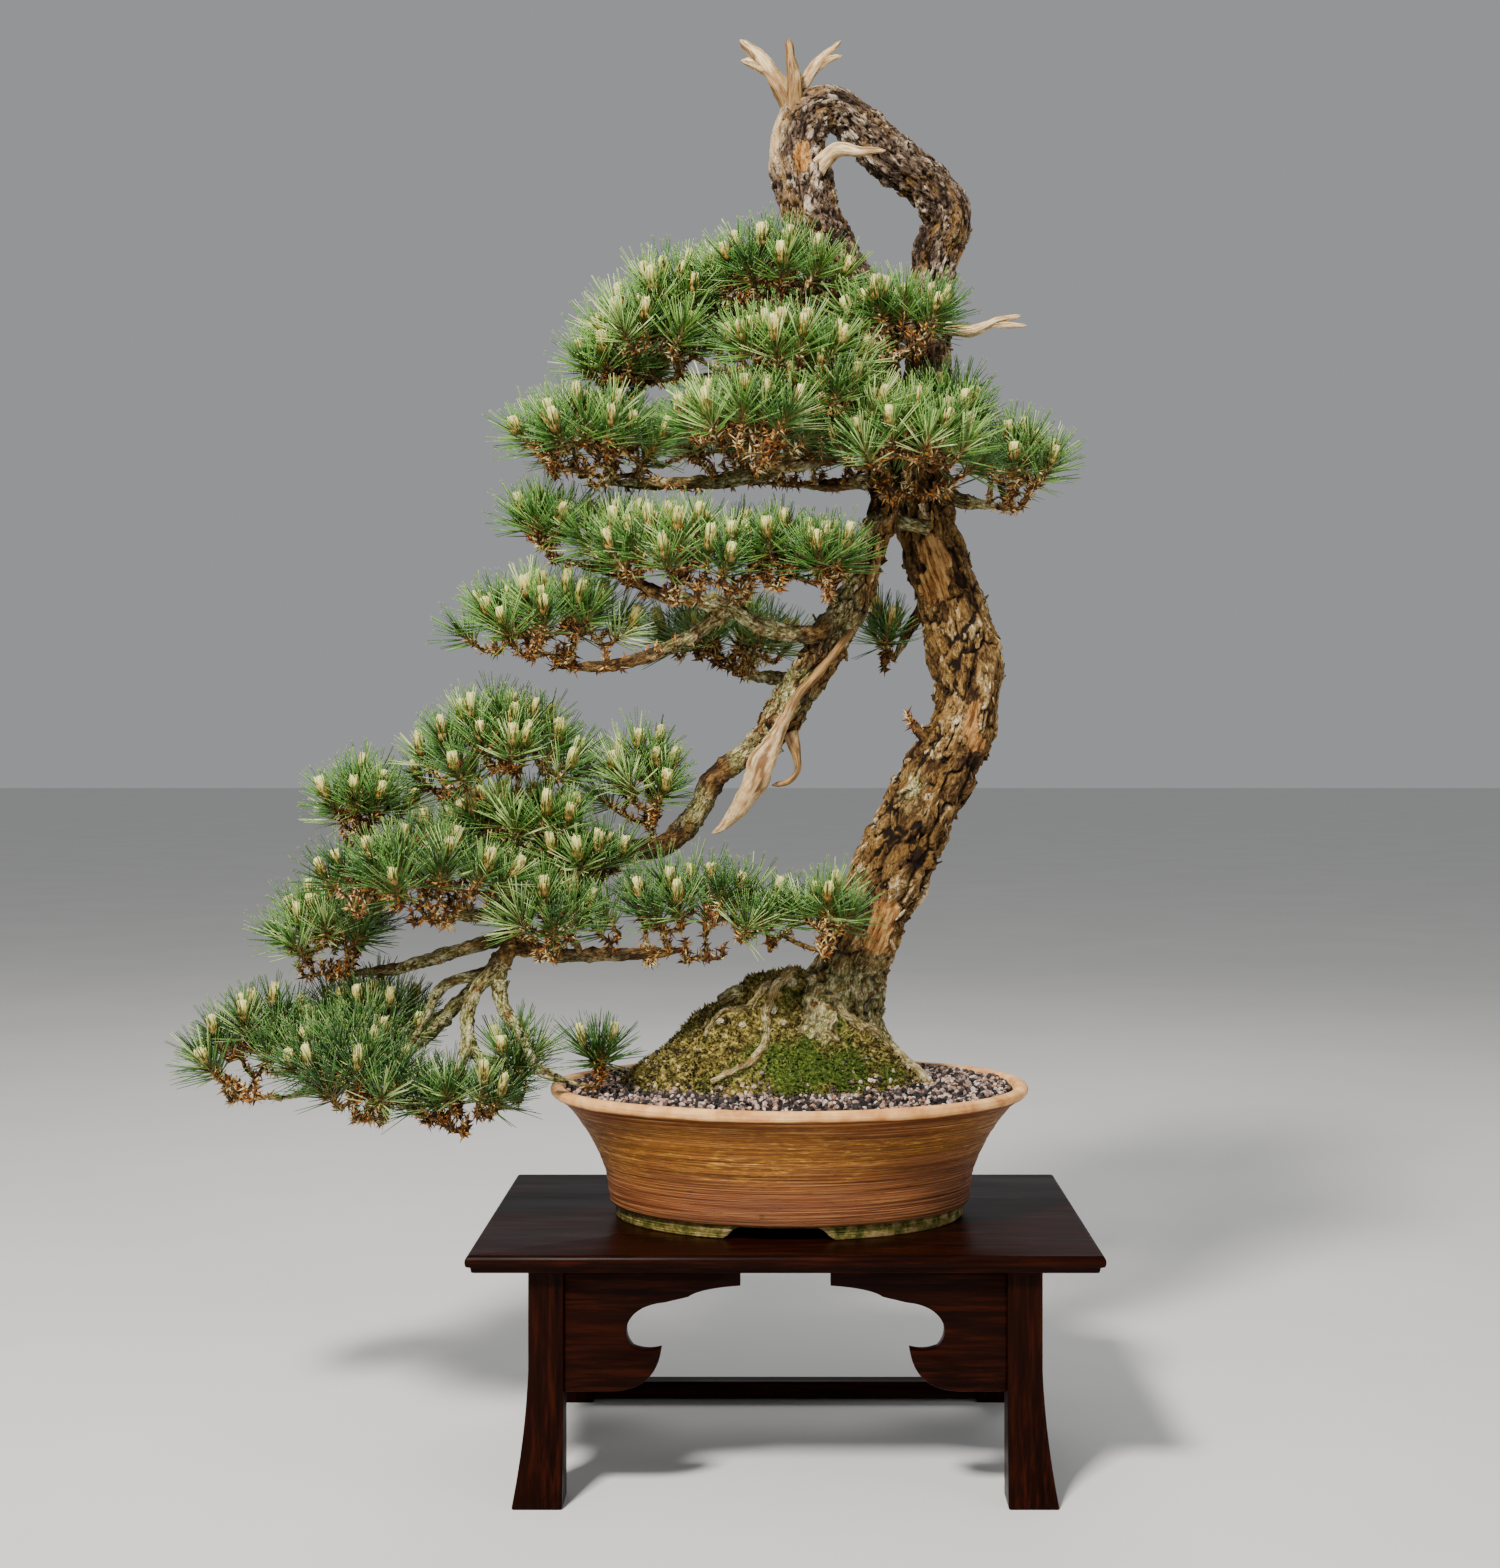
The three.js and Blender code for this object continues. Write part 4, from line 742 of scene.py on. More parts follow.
def plan_shoots(domes, rng):
    """Places a pad's shoots over its domes, each in a sunflower's order with some disorder."""
    plans = []
    for x, y, z, reach_x, reach_y, rise in domes:
        count = max(3, round(math.pi * reach_x * reach_y / SHOOT["area"]))
        bare = round(count * BARE_SHARE)
        order = np.concatenate([np.arange(count) + 0.5, (np.arange(bare) + 0.5) * count / bare])
        total = count + bare
        leafy = np.arange(total) < count
        ratio = np.sqrt(order / count) * np.where(leafy, 1, 0.86) + rng.uniform(-0.05, 0.05, total)
        angle = order * GOLDEN_ANGLE + x + rng.uniform(-0.25, 0.25, total) + np.where(leafy, 0, 1.3)
        height = SHOOT["lift"] + max(rise - SHOOT["drop"], 4) * (1 - ratio**2)
        height = np.where(leafy, height + rng.uniform(-5, 3, total), rng.uniform(-7, 4, total))
        base = np.stack([
            x + np.cos(angle) * ratio * (reach_x - SHOOT["edge"]),
            y + np.sin(angle) * ratio * (reach_y - SHOOT["edge"]),
            z + height,
        ], axis=1)
        tilt = np.radians(SHOOT["upright"] + (SHOOT["rim"] - SHOOT["upright"]) * ratio**1.3)
        tilt += rng.uniform(-0.15, 0.15, total)
        axis = np.stack([np.cos(angle) * np.sin(tilt), np.sin(angle) * np.sin(tilt), np.cos(tilt)], axis=1)
        plans.append({"base": base, "axis": unit(axis), "leafy": leafy})
    return {key: np.concatenate([plan[key] for plan in plans]) for key in plans[0]}


def in_the_way(points, trunk_line, trunk_radii):
    """Whether each place lies in the trunk, the pot or the ground."""
    blocked = []
    for first in range(0, len(points), BATCH):
        part = points[first : first + BATCH]
        away = np.linalg.norm(part[:, None] - trunk_line[None], axis=2) - trunk_radii
        blocked.append(away.min(axis=1) < KEEP_OUT["trunk"])
    across = (points[:, 0] - POT["x"]) / KEEP_OUT["pot_radius"]
    deep = points[:, 1] / (KEEP_OUT["pot_radius"] * POT["depth_ratio"])
    over_pot = across**2 + deep**2 < 1
    ground = np.maximum(POT["z"] + SOIL["middle"], mound_top(points[:, 0], points[:, 1]))
    return np.concatenate(blocked) | (over_pot & (points[:, 2] < ground + KEEP_OUT["ground"]))


def needle_parts(plan, crown_shade, rng, trunk_line, trunk_radii):
    """Pairs of needles all round each shoot's tip."""
    leafy, pairs = np.flatnonzero(plan["leafy"]), NEEDLE["pairs"]
    count = len(leafy)
    shoot = np.repeat(leafy, pairs)
    step = np.tile((np.arange(pairs) + 0.5) / pairs, count)
    axis = plan["axis"][shoot]
    polar = np.radians(NEEDLE["near"] + (NEEDLE["far"] - NEEDLE["near"]) * step**0.8)
    polar += rng.uniform(-0.12, 0.12, len(shoot))
    azimuth = np.tile(np.arange(pairs) * GOLDEN_ANGLE, count) + rng.uniform(0, 0.6, len(shoot))
    azimuth += np.repeat(rng.uniform(0, TURN, count), pairs)
    base = plan["base"][shoot] + axis * (SHOOT["stem"] * (1 - step) - 1)[:, None]
    length = rng.uniform(*NEEDLE["length"], len(shoot)) * np.repeat(rng.uniform(0.9, 1.05, count), pairs)
    tone = np.repeat(rng.random(count), pairs) * 0.5 + rng.random(len(shoot)) * 0.5
    parts = []
    for twin in (-1, 1):
        spread = math.radians(NEEDLE["spread"]) * twin
        direction = fan(axis, polar + spread * rng.uniform(-0.6, 1, len(shoot)), azimuth + spread)
        direction = unit(direction + [0, 0, 0.1])
        start = base + direction * 1.2
        free = ~in_the_way(start + direction * length[:, None], trunk_line, trunk_radii)
        values = {"tone": tone[free], "crown_shade": np.full(free.sum(), crown_shade)}
        radius = NEEDLE["radius"] * rng.uniform(0.85, 1.1, free.sum())
        parts.append(spikes(start[free], direction[free], length[free], radius, rng, values, NEEDLE["tip"]))
    return parts


def scale_part(feet, axes, count, rng, polar, slide):
    """Rusty scales that stand out round each of the places, some way along its axis."""
    place = np.repeat(np.arange(len(feet)), count)
    axis = axes[place]
    direction = fan(axis, rng.uniform(*polar, len(place)), rng.uniform(0, TURN, len(place)))
    base = feet[place] + axis * rng.uniform(*slide, len(place))[:, None] + direction * 0.4
    length = rng.uniform(*SCALE["length"], len(place))
    radius = SCALE["radius"] * rng.uniform(0.6, 1.3, len(place))
    return spikes(base, direction, length, radius, rng, {"tone": rng.random(len(place))})


def candle_parts(plan, share, rng):
    """Swelling buds: a pale spindle in a brush of short young needles, standing nearly upright."""
    chosen = plan["leafy"] & (rng.random(len(plan["base"])) < share)
    base = plan["base"][chosen] + plan["axis"][chosen] * (SHOOT["stem"] + 1)
    axis = unit(plan["axis"][chosen] * 0.4 + np.array([0, 0, 0.8]) + rng.uniform(-0.12, 0.12, base.shape))
    count, sides = len(base), CANDLE["sides"]
    length = rng.uniform(*CANDLE["length"], count)
    radius = rng.uniform(*CANDLE["radius"], count)
    tone = rng.random(count)
    aside = unit(np.cross(axis, [[1.0, 0.3, 0.0]]))
    other = np.cross(axis, aside)
    corners = []
    for height, width in CANDLE_OUTLINE:
        for corner in range(sides):
            angle = corner * TURN / sides + height * 2
            out = (aside * math.cos(angle) + other * math.sin(angle)) * (radius * width)[:, None]
            corners.append(base + axis * (length * height)[:, None] + out)
    spindles = np.stack(corners, axis=1).reshape(count, len(CANDLE_OUTLINE), sides, 3)
    heights = np.repeat([height for height, _ in CANDLE_OUTLINE], sides)
    parts = []
    for i in range(count):
        part = ringed(spindles[i], base[i], base[i] + axis[i] * length[i])
        part["along"] = np.array([*heights, 0, 1])
        part["tone"] = np.full(len(part["points"]), tone[i])
        parts.append(part)
    bud = np.repeat(np.arange(count), CANDLE["spikes"])
    azimuth = np.tile(np.arange(CANDLE["spikes"]) * TURN / CANDLE["spikes"], count)
    direction = fan(axis[bud], rng.uniform(-0.2, -0.05, len(bud)), azimuth)
    out = fan(axis[bud], np.full(len(bud), math.pi / 2), azimuth)
    foot = base[bud] + axis[bud] * (length[bud] * 0.3)[:, None] + out * (radius[bud] * 0.96)[:, None]
    lengths = length[bud] * rng.uniform(0.6, 0.76, len(bud))
    radii = np.full(len(bud), CANDLE["spike"])
    brush = spikes(foot, direction, lengths, radii, rng, {"tone": tone[bud]}, CANDLE["blunt"])
    brush["along"] = 0.3 + 0.7 * brush["along"]
    return [*parts, brush]


def twig_parts(plan, wood_line, rng):
    """Twigs that branch from the nearest wood to shoot after shoot, and the places for scales on them."""
    feet = plan["base"] - plan["axis"] * TWIG["back"]
    to_wood = np.linalg.norm(wood_line[:, None] - feet[None], axis=2)
    near = wood_line[to_wood.min(axis=1) < TWIG["reach"]]
    joints = [*(near if len(near) else wood_line[[to_wood.min(axis=1).argmin()]])]
    wooden = len(joints)
    parts, places = [], []
    for i in np.argsort(to_wood.min(axis=0)):
        distance = np.linalg.norm(np.array(joints) - feet[i], axis=1)
        start = int(np.argmin(distance))
        radius = TWIG["on_wood"] if start < wooden else TWIG["on_twig"]
        bend = rng.uniform(-0.07, 0.07, 3) * distance[start]
        middle = (joints[start] + feet[i]) / 2 + bend
        path = [(*joints[start], radius), (*middle, radius * 0.85), (*feet[i], 1.6)]
        parts.append(sweep(path, TWIG["sides"], max(3.5, distance[start] / 4), twig_bark))
        tip = plan["base"][i] + plan["axis"][i] * (SHOOT["stem"] if plan["leafy"][i] else 4)
        parts.append(sweep([(*feet[i], TWIG["foot"]), (*tip, TWIG["tip"])], TWIG["sides"], 5, twig_bark))
        places += [(joints[start] + middle) / 2, middle, (feet[i] + middle) / 2]
        joints += [middle, feet[i]]
    return parts, np.array(places)


def twig_bark(grain, surface, radius):
    values = {
        "number": 0.3 + 0.6 * (0.5 + 0.5 * noise(surface, 7, 63)),
        "crack": np.full(len(surface), 0.2),
        "mossy": np.full(len(surface), 0.25),
    }
    return 0.3 * radius * noise(surface, 3.4, 61), values


def build_foliage(wood_line, trunk_line, trunk_radii):
    for name, domes in PADS.items():
        rng = np.random.default_rng([SEED, *name.encode()])
        plan = plan_shoots(domes, rng)
        # how far the pad sits below the crown, in its shade: darker needles as painted shade, and fewer
        # candles
        crown_shade = float(np.clip((SHADE["below"] - domes[0][2]) / SHADE["over"], 0, 1))
        needles = needle_parts(plan, crown_shade, rng, trunk_line, trunk_radii)
        piece = make_piece(f"foliage_{name}", merged(needles), "pine_needles")
        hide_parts(f"needles_{name}")
        candles = candle_parts(plan, CANDLE["share"] - CANDLE["fewer_low"] * crown_shade, rng)
        make_piece(f"candles_{name}", merged(candles), "candles")
        twigs, places = twig_parts(plan, wood_line, rng)
        make_piece(f"twigs_{name}", merged(twigs), "flaky_bark")
        upright = np.tile([0.0, 0.0, 1.0], (len(places), 1))
        scales = [
            scale_part(plan["base"], plan["axis"], SCALE["shoot"], rng, (0.4, 1.8), (-9, 5)),
            scale_part(places, upright, SCALE["twig"], rng, (0.2, 2.8), (-1, 1)),
        ]
        make_piece(f"scales_{name}", merged(scales), "bud_scales")


# Ground


def mound_reach(x, y):
    """How far the mound reaches on the side where each place is."""
    return np.where(x < 0, MOUND["left"], MOUND["right"]), np.where(y < 0, MOUND["front"], MOUND["back"])


def mound_top(x, y):
    """Height of the moss mound over a place."""
    reach_x, reach_y = mound_reach(x, y)
    ratio = np.minimum(1, np.hypot(x / reach_x, y / reach_y))
    lumps = MOUND["lump"] * np.sin(x / 9) * np.cos(y / 8 + x / 21) * (1 - ratio**2)
    return MOUND["foot"] + MOUND["height"] * (1 - ratio ** MOUND["slope"]) + lumps


def on_mound(x, y):
    """Places of the unit circle, stretched to the mound's outline and set on top of it."""
    reach_x, reach_y = mound_reach(x, y)
    x, y = x * reach_x, y * reach_y
    return np.stack([x, y, mound_top(x, y)], axis=1)


def mound_lumps(points):
    """Buried roots and stones show as lumps, mostly near the trunk, and a ridge runs down on the right."""
    flat = points * (1, 1, 0)
    near_trunk = smoothstep(292, 340, points[:, 2])
    start, end = np.array(RIDGE["start"]), np.array(RIDGE["end"])
    run = end - start
    share = np.clip((points[:, :2] - start) @ run / (run @ run), 0, 1)
    away = np.linalg.norm(points[:, :2] - start - share[:, None] * run, axis=1)
    ridge = RIDGE["rise"] * np.exp(-((away / RIDGE["reach"]) ** 2))
    return (3.6 + 3.4 * near_trunk) * rough(flat, 19, 4, 83) + ridge


def greenness(points):
    """Deep green moss in the middle of the front, thinner and browner elsewhere."""
    green = sum(share * near(points, middle, reach) for share, middle, reach in GREEN_PLACES)
    return np.clip(green + 0.4 * rough(points, 16, 3, 81), 0, 1)


def build_moss(rng):
    rings, sides = MOUND["rings"], MOUND["sides"]
    ratio = np.linspace(1, 1 / rings, rings)
    x, y = (np.outer(ratio, way(angles(sides))).ravel() for way in (np.cos, np.sin))
    points = on_mound(x, y)
    fade = np.repeat(1 - 0.7 * smoothstep(0.86, 1.0, ratio), sides)
    points[:, 2] += mound_lumps(points) * fade + 1.3 * noise(points, 2.6, 85) * fade
    rim_share = np.repeat(smoothstep(0.7, 0.95, ratio), sides)
    points[:, :2] += (rough(points, 17, 2, 87) * 4 * rim_share)[:, None]
    rim = points[:sides] * (1, 1, 0) + (0, 0, MOUND["foot"] - 5)
    surface = np.concatenate([rim, points]).reshape(rings + 1, sides, 3)
    mound = ringed(surface, rim.mean(axis=0), points[-sides:].mean(axis=0))
    mound["green"] = greenness(mound["points"])
    mound["tone"] = 0.5 + 0.5 * noise(mound["points"], 5, 89)
    piece = make_piece("moss_mound", mound, "moss_cover")
    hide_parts("moss")
    count = TUFTS["count"]
    spread = np.sqrt(rng.random(count)) * 0.99
    turn = rng.uniform(0, TURN, count)
    base = on_mound(np.cos(turn) * spread, np.sin(turn) * spread)
    base[:, 2] += mound_lumps(base) - 0.6
    outward = base * (1, 1, 0) / (90, 70, 1) + (0, 0, 0.9)
    direction = unit(outward + rng.uniform(-0.5, 0.5, (count, 3)))
    length = rng.uniform(*TUFTS["length"], count)
    values = {"green": greenness(base), "tone": rng.random(count)}
    tufts = spikes(base, direction, length, rng.uniform(*TUFTS["radius"], count), rng, values)
    make_piece("moss_tufts", merged([tufts]), "moss_cover")


def build_soil(rng):
    rings, sides = SOIL["rings"], SOIL["sides"]
    radius = np.linspace(SOIL["radius"], 4, rings)
    top = turned(radius, np.interp(radius, *zip(*SOIL_PROFILE)) - 1, sides)
    top[..., 2] += 0.9 * rough(top.reshape(-1, 3), 6, 2, 91).reshape(rings, sides)
    below = turned(*np.transpose(SOIL_UNDERSIDE), sides)
    bottom = POT_MIDDLE + (0, 0, SOIL_UNDERSIDE[0][1])
    bed = ringed(np.concatenate([below, top]), bottom, POT_MIDDLE + (0, 0, SOIL["middle"] - 1))
    piece = make_piece("soil_bed", bed, "soil")
    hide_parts("soil")
    build_gravel(rng)


def build_gravel(rng):
    """Grains on the soil, and a few that still show through the thin edge of the moss."""
    count = GRAVEL["count"]
    spread = np.sqrt(rng.uniform(0.2, 1, count)) * (SOIL["radius"] - 1.5)
    turn = rng.uniform(0, TURN, count)
    centre = np.stack([
        POT["x"] + np.cos(turn) * spread,
        np.sin(turn) * spread * POT["depth_ratio"],
        POT["z"] + np.interp(spread, *zip(*SOIL_PROFILE)) + rng.uniform(-0.8, 1.1, count),
    ], axis=1)
    buried = mound_top(centre[:, 0], centre[:, 1]) - centre[:, 2]
    shown = rng.random(count) < np.exp(-np.maximum(buried, 0) / GRAVEL["fade"])
    centre[:, 2] += np.maximum(buried, 0) + rng.uniform(0, 1.5, count) * (buried > 0)
    centre = centre[shown]
    count = len(centre)
    size = GRAVEL["radius"] * rng.uniform(0.65, 1.35, (count, 1, 1)) * rng.uniform(0.75, 1.2, (count, 1, 3))
    corners, faces = icosahedron()
    jitter = rng.uniform(0.75, 1.2, (count, len(corners), 1))
    turned_corners = np.einsum("nij,kj->nki", random_turns(count, rng), corners)
    gravel = {
        "points": (centre[:, None] + turned_corners * jitter * size).reshape(-1, 3),
        "faces": [repeated(faces, count, len(corners))],
        "tone": np.repeat(rng.random(count), len(corners)),
    }
    make_piece("gravel", gravel, "gravel", False)


def icosahedron():
    golden = (1 + math.sqrt(5)) / 2
    corners = []
    for a in (-1, 1):
        for b in (-golden, golden):
            corners += [(0, a, b), (a, b, 0), (b, 0, a)]
    corners = np.array(corners) / math.hypot(1, golden)
    faces = []
    for i in range(12):
        for j in range(i + 1, 12):
            for k in range(j + 1, 12):
                sides = [np.linalg.norm(corners[m] - corners[n]) for m, n in ((i, j), (j, k), (i, k))]
                if max(sides) < 1.2:
                    outward = np.cross(corners[j] - corners[i], corners[k] - corners[i]) @ corners[i] > 0
                    faces.append((i, j, k) if outward else (i, k, j))
    return corners, np.array(faces)


def random_turns(count, rng):
    """Random rotation matrices, from random unit quaternions."""
    w, x, y, z = unit(rng.normal(size=(count, 4))).T
    rows = [
        [1 - 2 * (y * y + z * z), 2 * (x * y - z * w), 2 * (x * z + y * w)],
        [2 * (x * y + z * w), 1 - 2 * (x * x + z * z), 2 * (y * z - x * w)],
        [2 * (x * z - y * w), 2 * (y * z + x * w), 1 - 2 * (x * x + y * y)],
    ]
    return np.moveaxis(np.array(rows), 2, 0)


# Pot


def turned(radius, height, sides):
    """Points of an oval turned from an outline, ring by ring, standing on the board."""
    angle = angles(sides)
    x = POT["x"] + np.outer(radius, np.cos(angle))
    y = np.outer(radius, np.sin(angle)) * POT["depth_ratio"]
    z = np.repeat(np.asarray(height)[:, None] + POT["z"], sides, axis=1)
    return np.stack([x, y, z], axis=-1)


def refined(outline, step):
    """The outline with extra points, no further apart than the step."""
    made = []
    for (r0, h0), (r1, h1) in zip(outline, outline[1:]):
        parts = max(1, math.ceil(math.hypot(r1 - r0, h1 - h0) / step))
        made += [(r0 + (r1 - r0) * k / parts, h0 + (h1 - h0) * k / parts) for k in range(parts)]
    return np.array([*made, outline[-1]])


def build_pot():
    sides = POT["sides"]
    foot = np.array([point for point in POT_OUTSIDE if point[0] <= POT["foot_radius"]])
    wall = refined([point for point in POT_OUTSIDE if point[0] > POT["foot_radius"]], WALL_STEP)
    radius, height = np.concatenate([foot, wall, refined(POT_INSIDE, INSIDE_STEP)]).T
    rings = turned(radius, height, sides)
    points = rings.reshape(-1, 3)
    level = np.repeat(height, sides)
    angle = np.tile(angles(sides), len(radius))
    outer = np.repeat(np.arange(len(radius)) < len(foot) + len(wall), sides) & (level > 10.5) & (level < 98.6)
    circle = np.stack([np.cos(angle) * 3, np.sin(angle) * 3, level], axis=1)
    throwing = noise(circle * (0.5, 0.5, 1), (1, 1, 2.6), 101) + 0.6 * noise(circle, (1, 1, 1.5), 103)
    depth = smoothstep(11, 16, level) * (1 - 0.65 * smoothstep(86, 90, level))
    outward = unit((points - (POT["x"], 0, 0)) * (1, 1 / POT["depth_ratio"], 0))
    points += outward * (outer * depth * 0.42 * throwing)[:, None]
    points[:, 2] += smoothstep(70, 96, level) * 0.7 * noise(circle * (1, 1, 0), 1.4, 105)
    to_notch = np.abs(points[:, 0] - FOOT_NOTCH["x"])
    notch = np.clip(FOOT_NOTCH["bottom"] / 2 - to_notch, 0, FOOT_NOTCH["height"])
    points[:, 2] = np.where(level < 9.3, np.maximum(points[:, 2], POT["z"] + notch), points[:, 2])
    body = ringed(points.reshape(rings.shape), POT_MIDDLE + (0, 0, 10), POT_MIDDLE + (0, 0, POT["floor"]))
    vessel = make_piece("pot_clay_body", body, "thrown_clay")
    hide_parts("pot")
    for _, side in COLUMNS:
        bpy.ops.mesh.primitive_cylinder_add(
            vertices=DRAIN["sides"], radius=DRAIN["radius"] * MM, depth=DRAIN["depth"] * MM
        )
        drill = bpy.context.object
        drill.location = Vector(POT_MIDDLE + (side * DRAIN["x"], 0, DRAIN["middle"])) * MM + Vector(ORIGIN)
        cut = vessel.modifiers.new("drain", "BOOLEAN")
        cut.object = drill
        cut.operation = "DIFFERENCE"
        bpy.context.view_layer.objects.active = vessel
        bpy.ops.object.modifier_apply(modifier="drain")
        bpy.data.objects.remove(drill)


# Stand


def loft(levels, corner, steps=4):
    """A block of rounded rectangles: for each level its height and its lowest and highest x and y."""
    quarter = np.linspace(0, math.pi / 2, steps + 1)
    rings = []
    for z, x0, x1, y0, y1 in levels:
        ring = []
        for i, (cx, cy) in enumerate(((x1 - corner, y1 - corner), (x0 + corner, y1 - corner),
                                      (x0 + corner, y0 + corner), (x1 - corner, y0 + corner))):
            turn = quarter + i * math.pi / 2
            ring += [(cx + corner * math.cos(a), cy + corner * math.sin(a), z) for a in turn]
        rings.append(ring)
    count = len(rings[0])
    points = np.array(rings, float).reshape(-1, 3)
    faces = grid_faces(len(levels), count)
    around = np.arange(1, count - 1)
    bottom = np.stack([np.zeros(count - 2, int), around + 1, around], axis=1)
    top = np.stack([np.zeros(count - 2, int), around, around + 1], axis=1) + (len(levels) - 1) * count
    return {"points": points, "faces": [faces, bottom, top]}


def stand_piece(name, part, node, wood="long_wood"):
    piece = make_piece(name, merged([part]), wood)
    piece.data.set_sharp_from_angle(angle=math.radians(34))
    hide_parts(node)


def build_board():
    half_x, half_y = BOARD["length"] / 2, BOARD["depth"] / 2
    levels = [
        (BOARD["top"] - drop, inset - half_x, half_x - inset, inset - half_y, half_y - inset)
        for drop, inset in BOARD_EDGE
    ]
    stand_piece("stand_board", loft(levels, BOARD["corner"]), "stand_top")


def leg_flare(z, axis):
    """How far the leg's outer face stands out over its straight part."""
    share = np.clip(1 - z / LEG["flare_height"], 0, 1)
    return LEG["flare"][axis] * share**2 + 0.35 * LEG["flare"][axis] * share * (1 - share)


def build_legs():
    underside = BOARD["top"] - BOARD["thickness"]
    heights = [0, 0.5, 1.2, *np.linspace(6, LEG["flare_height"], 16), underside - 0.4]
    for row, along_y in ROWS:
        for column, along_x in COLUMNS:
            levels = []
            for z in heights:
                ease = FOOT_EASE.get(z, 0)
                level = [z]
                for axis, side in enumerate((along_x, along_y)):
                    outer = LEG["outer"][axis] + leg_flare(z, axis)
                    level += sorted((side * (LEG["inner"][axis] + ease), side * (outer - ease)))
                levels.append(level)
            part = loft(levels, LEG["corner"])
            stand_piece(f"stand_post_{row}_{column}", part, f"stand_leg_{row}_{column}", "upright_wood")


def bezier(points, steps):
    """A smooth stretch from its control points, without its first point."""
    made = []
    for share in np.linspace(0, 1, steps + 1)[1:]:
        level = [np.array(point, float) for point in points]
        while len(level) > 1:
            level = [a + (b - a) * share for a, b in zip(level, level[1:])]
        made.append(tuple(level[0]))
    return made


def bracket_outline():
    """From the leg's face along the board's underside, and back along the cusps."""
    outline = [(0, 0), (125, 0), (125, -12)]
    outline += bezier([outline[-1], (96, -14), (88, -20)], 10)
    outline.append((71, -24))
    outline += bezier([outline[-1], (46, -26), (38, -44), (49, -56)], 16)
    outline += bezier([outline[-1], (59, -60), (69, -57)], 8)
    outline += bezier([outline[-1], (66, -80), (50, -87), (32, -87)], 14)
    return [*outline, (0, -87)]


def plate(outline, turn, spot):
    """A plate of the outline with rounded edges, turned about the vertical, with its origin at the spot."""
    curve = bpy.data.curves.new("outline", "CURVE")
    curve.dimensions = "2D"
    curve.fill_mode = "BOTH"
    curve.extrude = APRON["thickness"] / 2 - APRON["bevel"]
    curve.bevel_depth = APRON["bevel"]
    curve.bevel_resolution = 1
    curve.offset = -APRON["bevel"]
    spline = curve.splines.new("POLY")
    spline.points.add(len(outline) - 1)
    for point, (x, z) in zip(spline.points, outline):
        point.co = (x, z, 0, 1)
    spline.use_cyclic_u = True
    shape = bpy.data.objects.new("outline", curve)
    flat = bmesh.new()
    flat.from_mesh(bpy.data.meshes.new_from_object(shape))
    bpy.data.objects.remove(shape)
    stand_up = Matrix.Translation(spot) @ Matrix.Rotation(turn, 4, "Z") @ Matrix.Rotation(math.pi / 2, 4, "X")
    bmesh.ops.transform(flat, matrix=stand_up, verts=flat.verts)
    bmesh.ops.remove_doubles(flat, verts=flat.verts, dist=0.001)
    bmesh.ops.recalc_face_normals(flat, faces=flat.faces)
    points = np.array([vert.co for vert in flat.verts])
    faces = []
    for corners in (3, 4):
        group = [[vert.index for vert in face.verts] for face in flat.faces if len(face.verts) == corners]
        faces.append(np.array(group).reshape(-1, corners))
    return {"points": points, "faces": faces}


def build_aprons():
    underside = BOARD["top"] - BOARD["thickness"] - 0.3
    inner_x, inner_y = LEG["inner"]
    middle_x, middle_y = (reach - APRON["setback"] - APRON["thickness"] / 2 for reach in LEG["outer"])
    outline = bracket_outline()
    mirrored = [(-x, z) for x, z in reversed(outline)]
    for row, along_y in ROWS:
        for (column, along_x), shape in zip(COLUMNS, (outline, mirrored)):
            part = plate(shape, 0, (along_x * inner_x, along_y * middle_y, underside))
            stand_piece(f"stand_cusp_{row}_{column}", part, f"stand_bracket_{row}_{column}")
    near = [(x * 0.76, z * 0.9) for x, z in outline[2:]]
    span = 2 * inner_y
    far = [(span - x, z) for x, z in reversed(near)]
    side = [(0, 0), (span, 0), *far, *near]
    for column, along_x in COLUMNS:
        part = plate(side, math.pi / 2, (along_x * middle_x, -inner_y, underside))
        stand_piece(f"stand_side_{column}", part, f"stand_apron_{column}", "cross_wood")


def build_rail():
    x = LEG["inner"][0]
    y = LEG["inner"][1] + RAIL_SETBACK
    levels = [(height, -x, x, y + front, y + back) for height, front, back in RAIL]
    stand_piece("stand_low_rail", loft(levels, 0.6), "stand_back_rail")


# Materials


